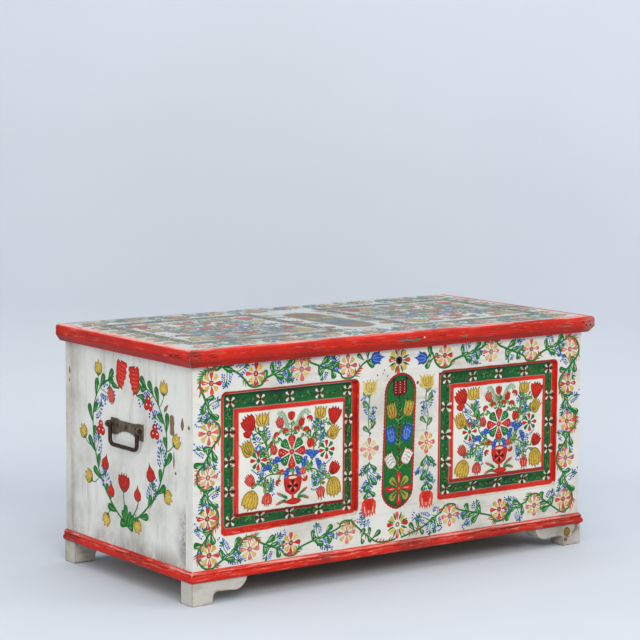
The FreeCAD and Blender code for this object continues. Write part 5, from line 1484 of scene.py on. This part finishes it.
def iron_finish(name, base, rust, metallic=0.75):
    """Forged iron: dark, uneven, with brown rust in the low spots."""
    t = Finish(name)
    blotch = t.noise(t.place, 60.0, 5.0, 0.7)
    rusty = t.ramp(blotch, 0.38, 0.66)
    rubbed = t.times(t.chipped(0.2, 0.5, 0.0015), 0.5)
    colour = t.mixed(rubbed, t.mixed(rusty, base, rust), TONE["rubbed iron"])
    height = t.plus(blotch, t.times(t.noise(t.place, 420.0, 3.0, 0.7), 0.4))
    t.put(t.shader.inputs["Metallic"], metallic)
    return t.surface(colour, t.plus(0.42, t.times(rusty, 0.35)), height, 0.0008)


FINISHES = {
    "painted_front": front_finish(), "painted_end": end_finish(), "painted_lid": lid_finish(),
    "painted_foot": foot_finish(),
    "lid_front": moulding_finish("lid_moulding_front", LONG_BRUSH, LID_TOP, 0.25, 0.36),
    "lid_side": moulding_finish("lid_moulding_side", CROSS_BRUSH, LID_TOP, 0.3, 0.36, True),
    "plinth_front": moulding_finish("plinth_paint_front", LONG_BRUSH, PLINTH_BEAD, 0.62, 0.6),
    "plinth_side": moulding_finish("plinth_paint_side", CROSS_BRUSH, PLINTH_BEAD, 0.5, 0.6),
    "bare_long": timber_finish("bare_pine_long", ALONG_X),
    "bare_cross": timber_finish("bare_pine_cross", ALONG_Y),
    "peg": timber_finish("peg_wood", ALONG_Z, TONE["peg wood"], TONE["dark peg wood"]),
    "iron_dark": iron_finish("dark_iron", TONE["iron"], TONE["rust"]),
    "iron_plate": iron_finish("weathered_plate", TONE["plate"], TONE["plate rust"], 0.45),
}
CROSS_GRAIN = {"left_end_board", "right_end_board", "lid_left_batten", "lid_right_batten", "till_side",
               "till_bottom"}


def finish_of(name, slot):
    """The finish of one of the frame's nodes, from its material slot."""
    if slot == "red_moulding":
        return FINISHES[name.split("_")[0] + ("_front" if "front" in name else "_side")]
    if slot == "bare_wood":
        if name == "foot_dowels":
            return FINISHES["peg"]
        return FINISHES["bare_cross" if name in CROSS_GRAIN else "bare_long"]
    if slot == "iron":
        return FINISHES["iron_plate" if name.endswith("handle_plate") else "iron_dark"]
    return FINISHES[slot]


for name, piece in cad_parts.items():
    for index, material in enumerate(piece.data.materials):
        piece.material_slots[index].link = "DATA"
        piece.data.materials[index] = finish_of(name, material.name)

FRONT_STROKES = stroke_finish("front_brushwork", 0.12, WHITE, GREY_DIRT, FRONT_BRUSH)
END_STROKES = stroke_finish("end_brushwork", 0.14, WHITE, GREY_DIRT, END_BRUSH)
LID_STROKES = stroke_finish("lid_brushwork", 0.42, LID_WHITE, LID_GREY, LID_BRUSH, 0.5)
RIM_STROKES = stroke_finish("rim_scratches", 0.1, BRIGHT_RED, DARK_RED, LONG_BRUSH)
front.lay("front_border_painting", "chest", "painted_front", FRONT_STROKES)
band.lay("green_band_crosses", "chest", "painted_front", FRONT_STROKES)
fields[0].lay("left_field_bouquet", "chest", "painted_front", FRONT_STROKES)
fields[1].lay("right_field_bouquet", "chest", "painted_front", FRONT_STROKES)
left_end.lay("left_end_wreath", "chest", "painted_end", END_STROKES)
right_end.lay("right_end_wreath", "chest", "painted_end", END_STROKES)
lid.lay("lid_top_painting", "lid", "painted_lid", LID_STROKES)
lid_fields[0].lay("lid_left_bouquet", "lid", "painted_lid", LID_STROKES)
lid_fields[1].lay("lid_right_bouquet", "lid", "painted_lid", LID_STROKES)
plug.lay("right_foot_plug", "chest", "painted_foot", FRONT_STROKES)
rim_front.lay("front_moulding_scratches", "lid", "red_moulding", RIM_STROKES)
rim_left.lay("left_moulding_scratches", "lid", "red_moulding", RIM_STROKES)

# studio
CAMERA_SPOT = Vector((-3.2513, -4.4075, 1.2408))
TURN, TILT, LEAN = (math.radians(angle) for angle in (-36.16, 6.93, 0.38))
SENSOR_WIDTH, FOCAL_LENGTH = 36, 127.5
FLOOR_DROP = 0.0005


def stage_finish(name, colour, rough):
    """Plain matt paper, see-through from behind."""
    t = Finish(name)
    shaded = tuple(c * 0.96 for c in colour[:3]) + (1.0,)
    tint = t.mixed(t.ramp(t.noise(t.place, 1.2, 3.0, 0.5), 0.3, 0.7), colour, shaded)
    t.put(t.shader.inputs["Alpha"], t.minus(1.0, t.add("NewGeometry").outputs["Backfacing"]))
    return t.surface(tint, rough, t.noise(t.place, 60.0, 3.0), 0.0003)


def sweep(name, width, front_edge, back_edge, height, radius, finish):
    """A wide floor, and a backdrop that curves up from it, turned to face the camera."""
    turns = [math.radians(a) for a in range(0, 91, 6)]
    curve = [(back_edge - radius + radius * math.sin(a), radius - radius * math.cos(a)) for a in turns]
    profile = [(front_edge, 0.0), (-front_edge, 0.0), *curve, (back_edge, height)]
    points = [(side * width, y, z - FLOOR_DROP) for y, z in profile for side in (-1, 1)]
    faces = [(2 * i, 2 * i + 1, 2 * i + 3, 2 * i + 2) for i in range(len(profile) - 1) if i != 1]
    mesh = bpy.data.meshes.new(name)
    mesh.from_pydata(points, [], faces)
    mesh.polygons.foreach_set("use_smooth", [True] * len(faces))
    mesh.materials.append(finish)
    stand = bpy.data.objects.new(name, mesh)
    bpy.context.scene.collection.objects.link(stand)
    stand.rotation_euler = (0, 0, TURN)


def lamp(name, spot, target, size, power):
    """A soft rectangular lamp that points at its target."""
    data = bpy.data.lights.new(name, "AREA")
    data.shape = "RECTANGLE"
    data.size, data.size_y = size
    data.energy = power
    made = bpy.data.objects.new(name, data)
    made.matrix_world = (Vector(target) - Vector(spot)).to_track_quat("-Z", "Y").to_matrix().to_4x4()
    made.location = spot
    bpy.context.scene.collection.objects.link(made)


sweep("studio_floor", 7.0, -7.0, 1.35, 5.0, 0.45, stage_finish("pale_floor", TONE["floor"], 0.85))
lamp("key_window", (-2.4, -4.0, 3.2), (0, 0, 0.3), (2.6, 2.0), 128)
lamp("left_fill", (-4.4, -0.6, 1.8), (0, 0, 0.3), (2.2, 2.0), 36)
lamp("right_fill", (3.4, -3.4, 2.2), (0, 0, 0.3), (2.6, 2.2), 44)
lamp("top_soft", (0, -0.4, 3.6), (0, 0.4, 0.2), (3.4, 3.4), 66)

world = bpy.data.worlds.new("studio")
bpy.context.scene.world = world
world.use_nodes = True
sky = Wiring(world.node_tree)
soft_light = world.node_tree.nodes["Background"]
soft_light.inputs["Color"].default_value = (0.94, 0.97, 1.0, 1)
soft_light.inputs["Strength"].default_value = 0.42
seen = sky.add("Background", {"Color": TONE["backdrop"], "Strength": 1.0})
rays = sky.add("LightPath").outputs
seen_share = sky.most(rays["Is Camera Ray"], rays["Is Glossy Ray"])
seen_or_light = sky.add("MixShader", {0: seen_share, 1: soft_light.outputs[0], 2: seen.outputs[0]})
sky.put(world.node_tree.nodes["World Output"].inputs["Surface"], seen_or_light.outputs[0])

# camera
forward = Vector((-math.sin(TURN) * math.cos(TILT), math.cos(TURN) * math.cos(TILT), -math.sin(TILT)))
level = Vector((math.cos(TURN), math.sin(TURN), 0))
above = level.cross(forward)
right = level * math.cos(LEAN) + above * math.sin(LEAN)
upward = above * math.cos(LEAN) - level * math.sin(LEAN)
lens = bpy.data.cameras.new("camera")
lens.sensor_width = SENSOR_WIDTH
lens.lens = FOCAL_LENGTH
camera = bpy.data.objects.new("camera", lens)
facing = Matrix((right, upward, -forward)).transposed()
camera.matrix_world = Matrix.Translation(CAMERA_SPOT) @ facing.to_4x4()
bpy.context.scene.collection.objects.link(camera)
bpy.context.scene.camera = camera
bpy.context.scene.view_settings.view_transform = "Standard"


def corners(box):
    """A box's two corners as plain lists."""
    return [list(corner) for corner in box]
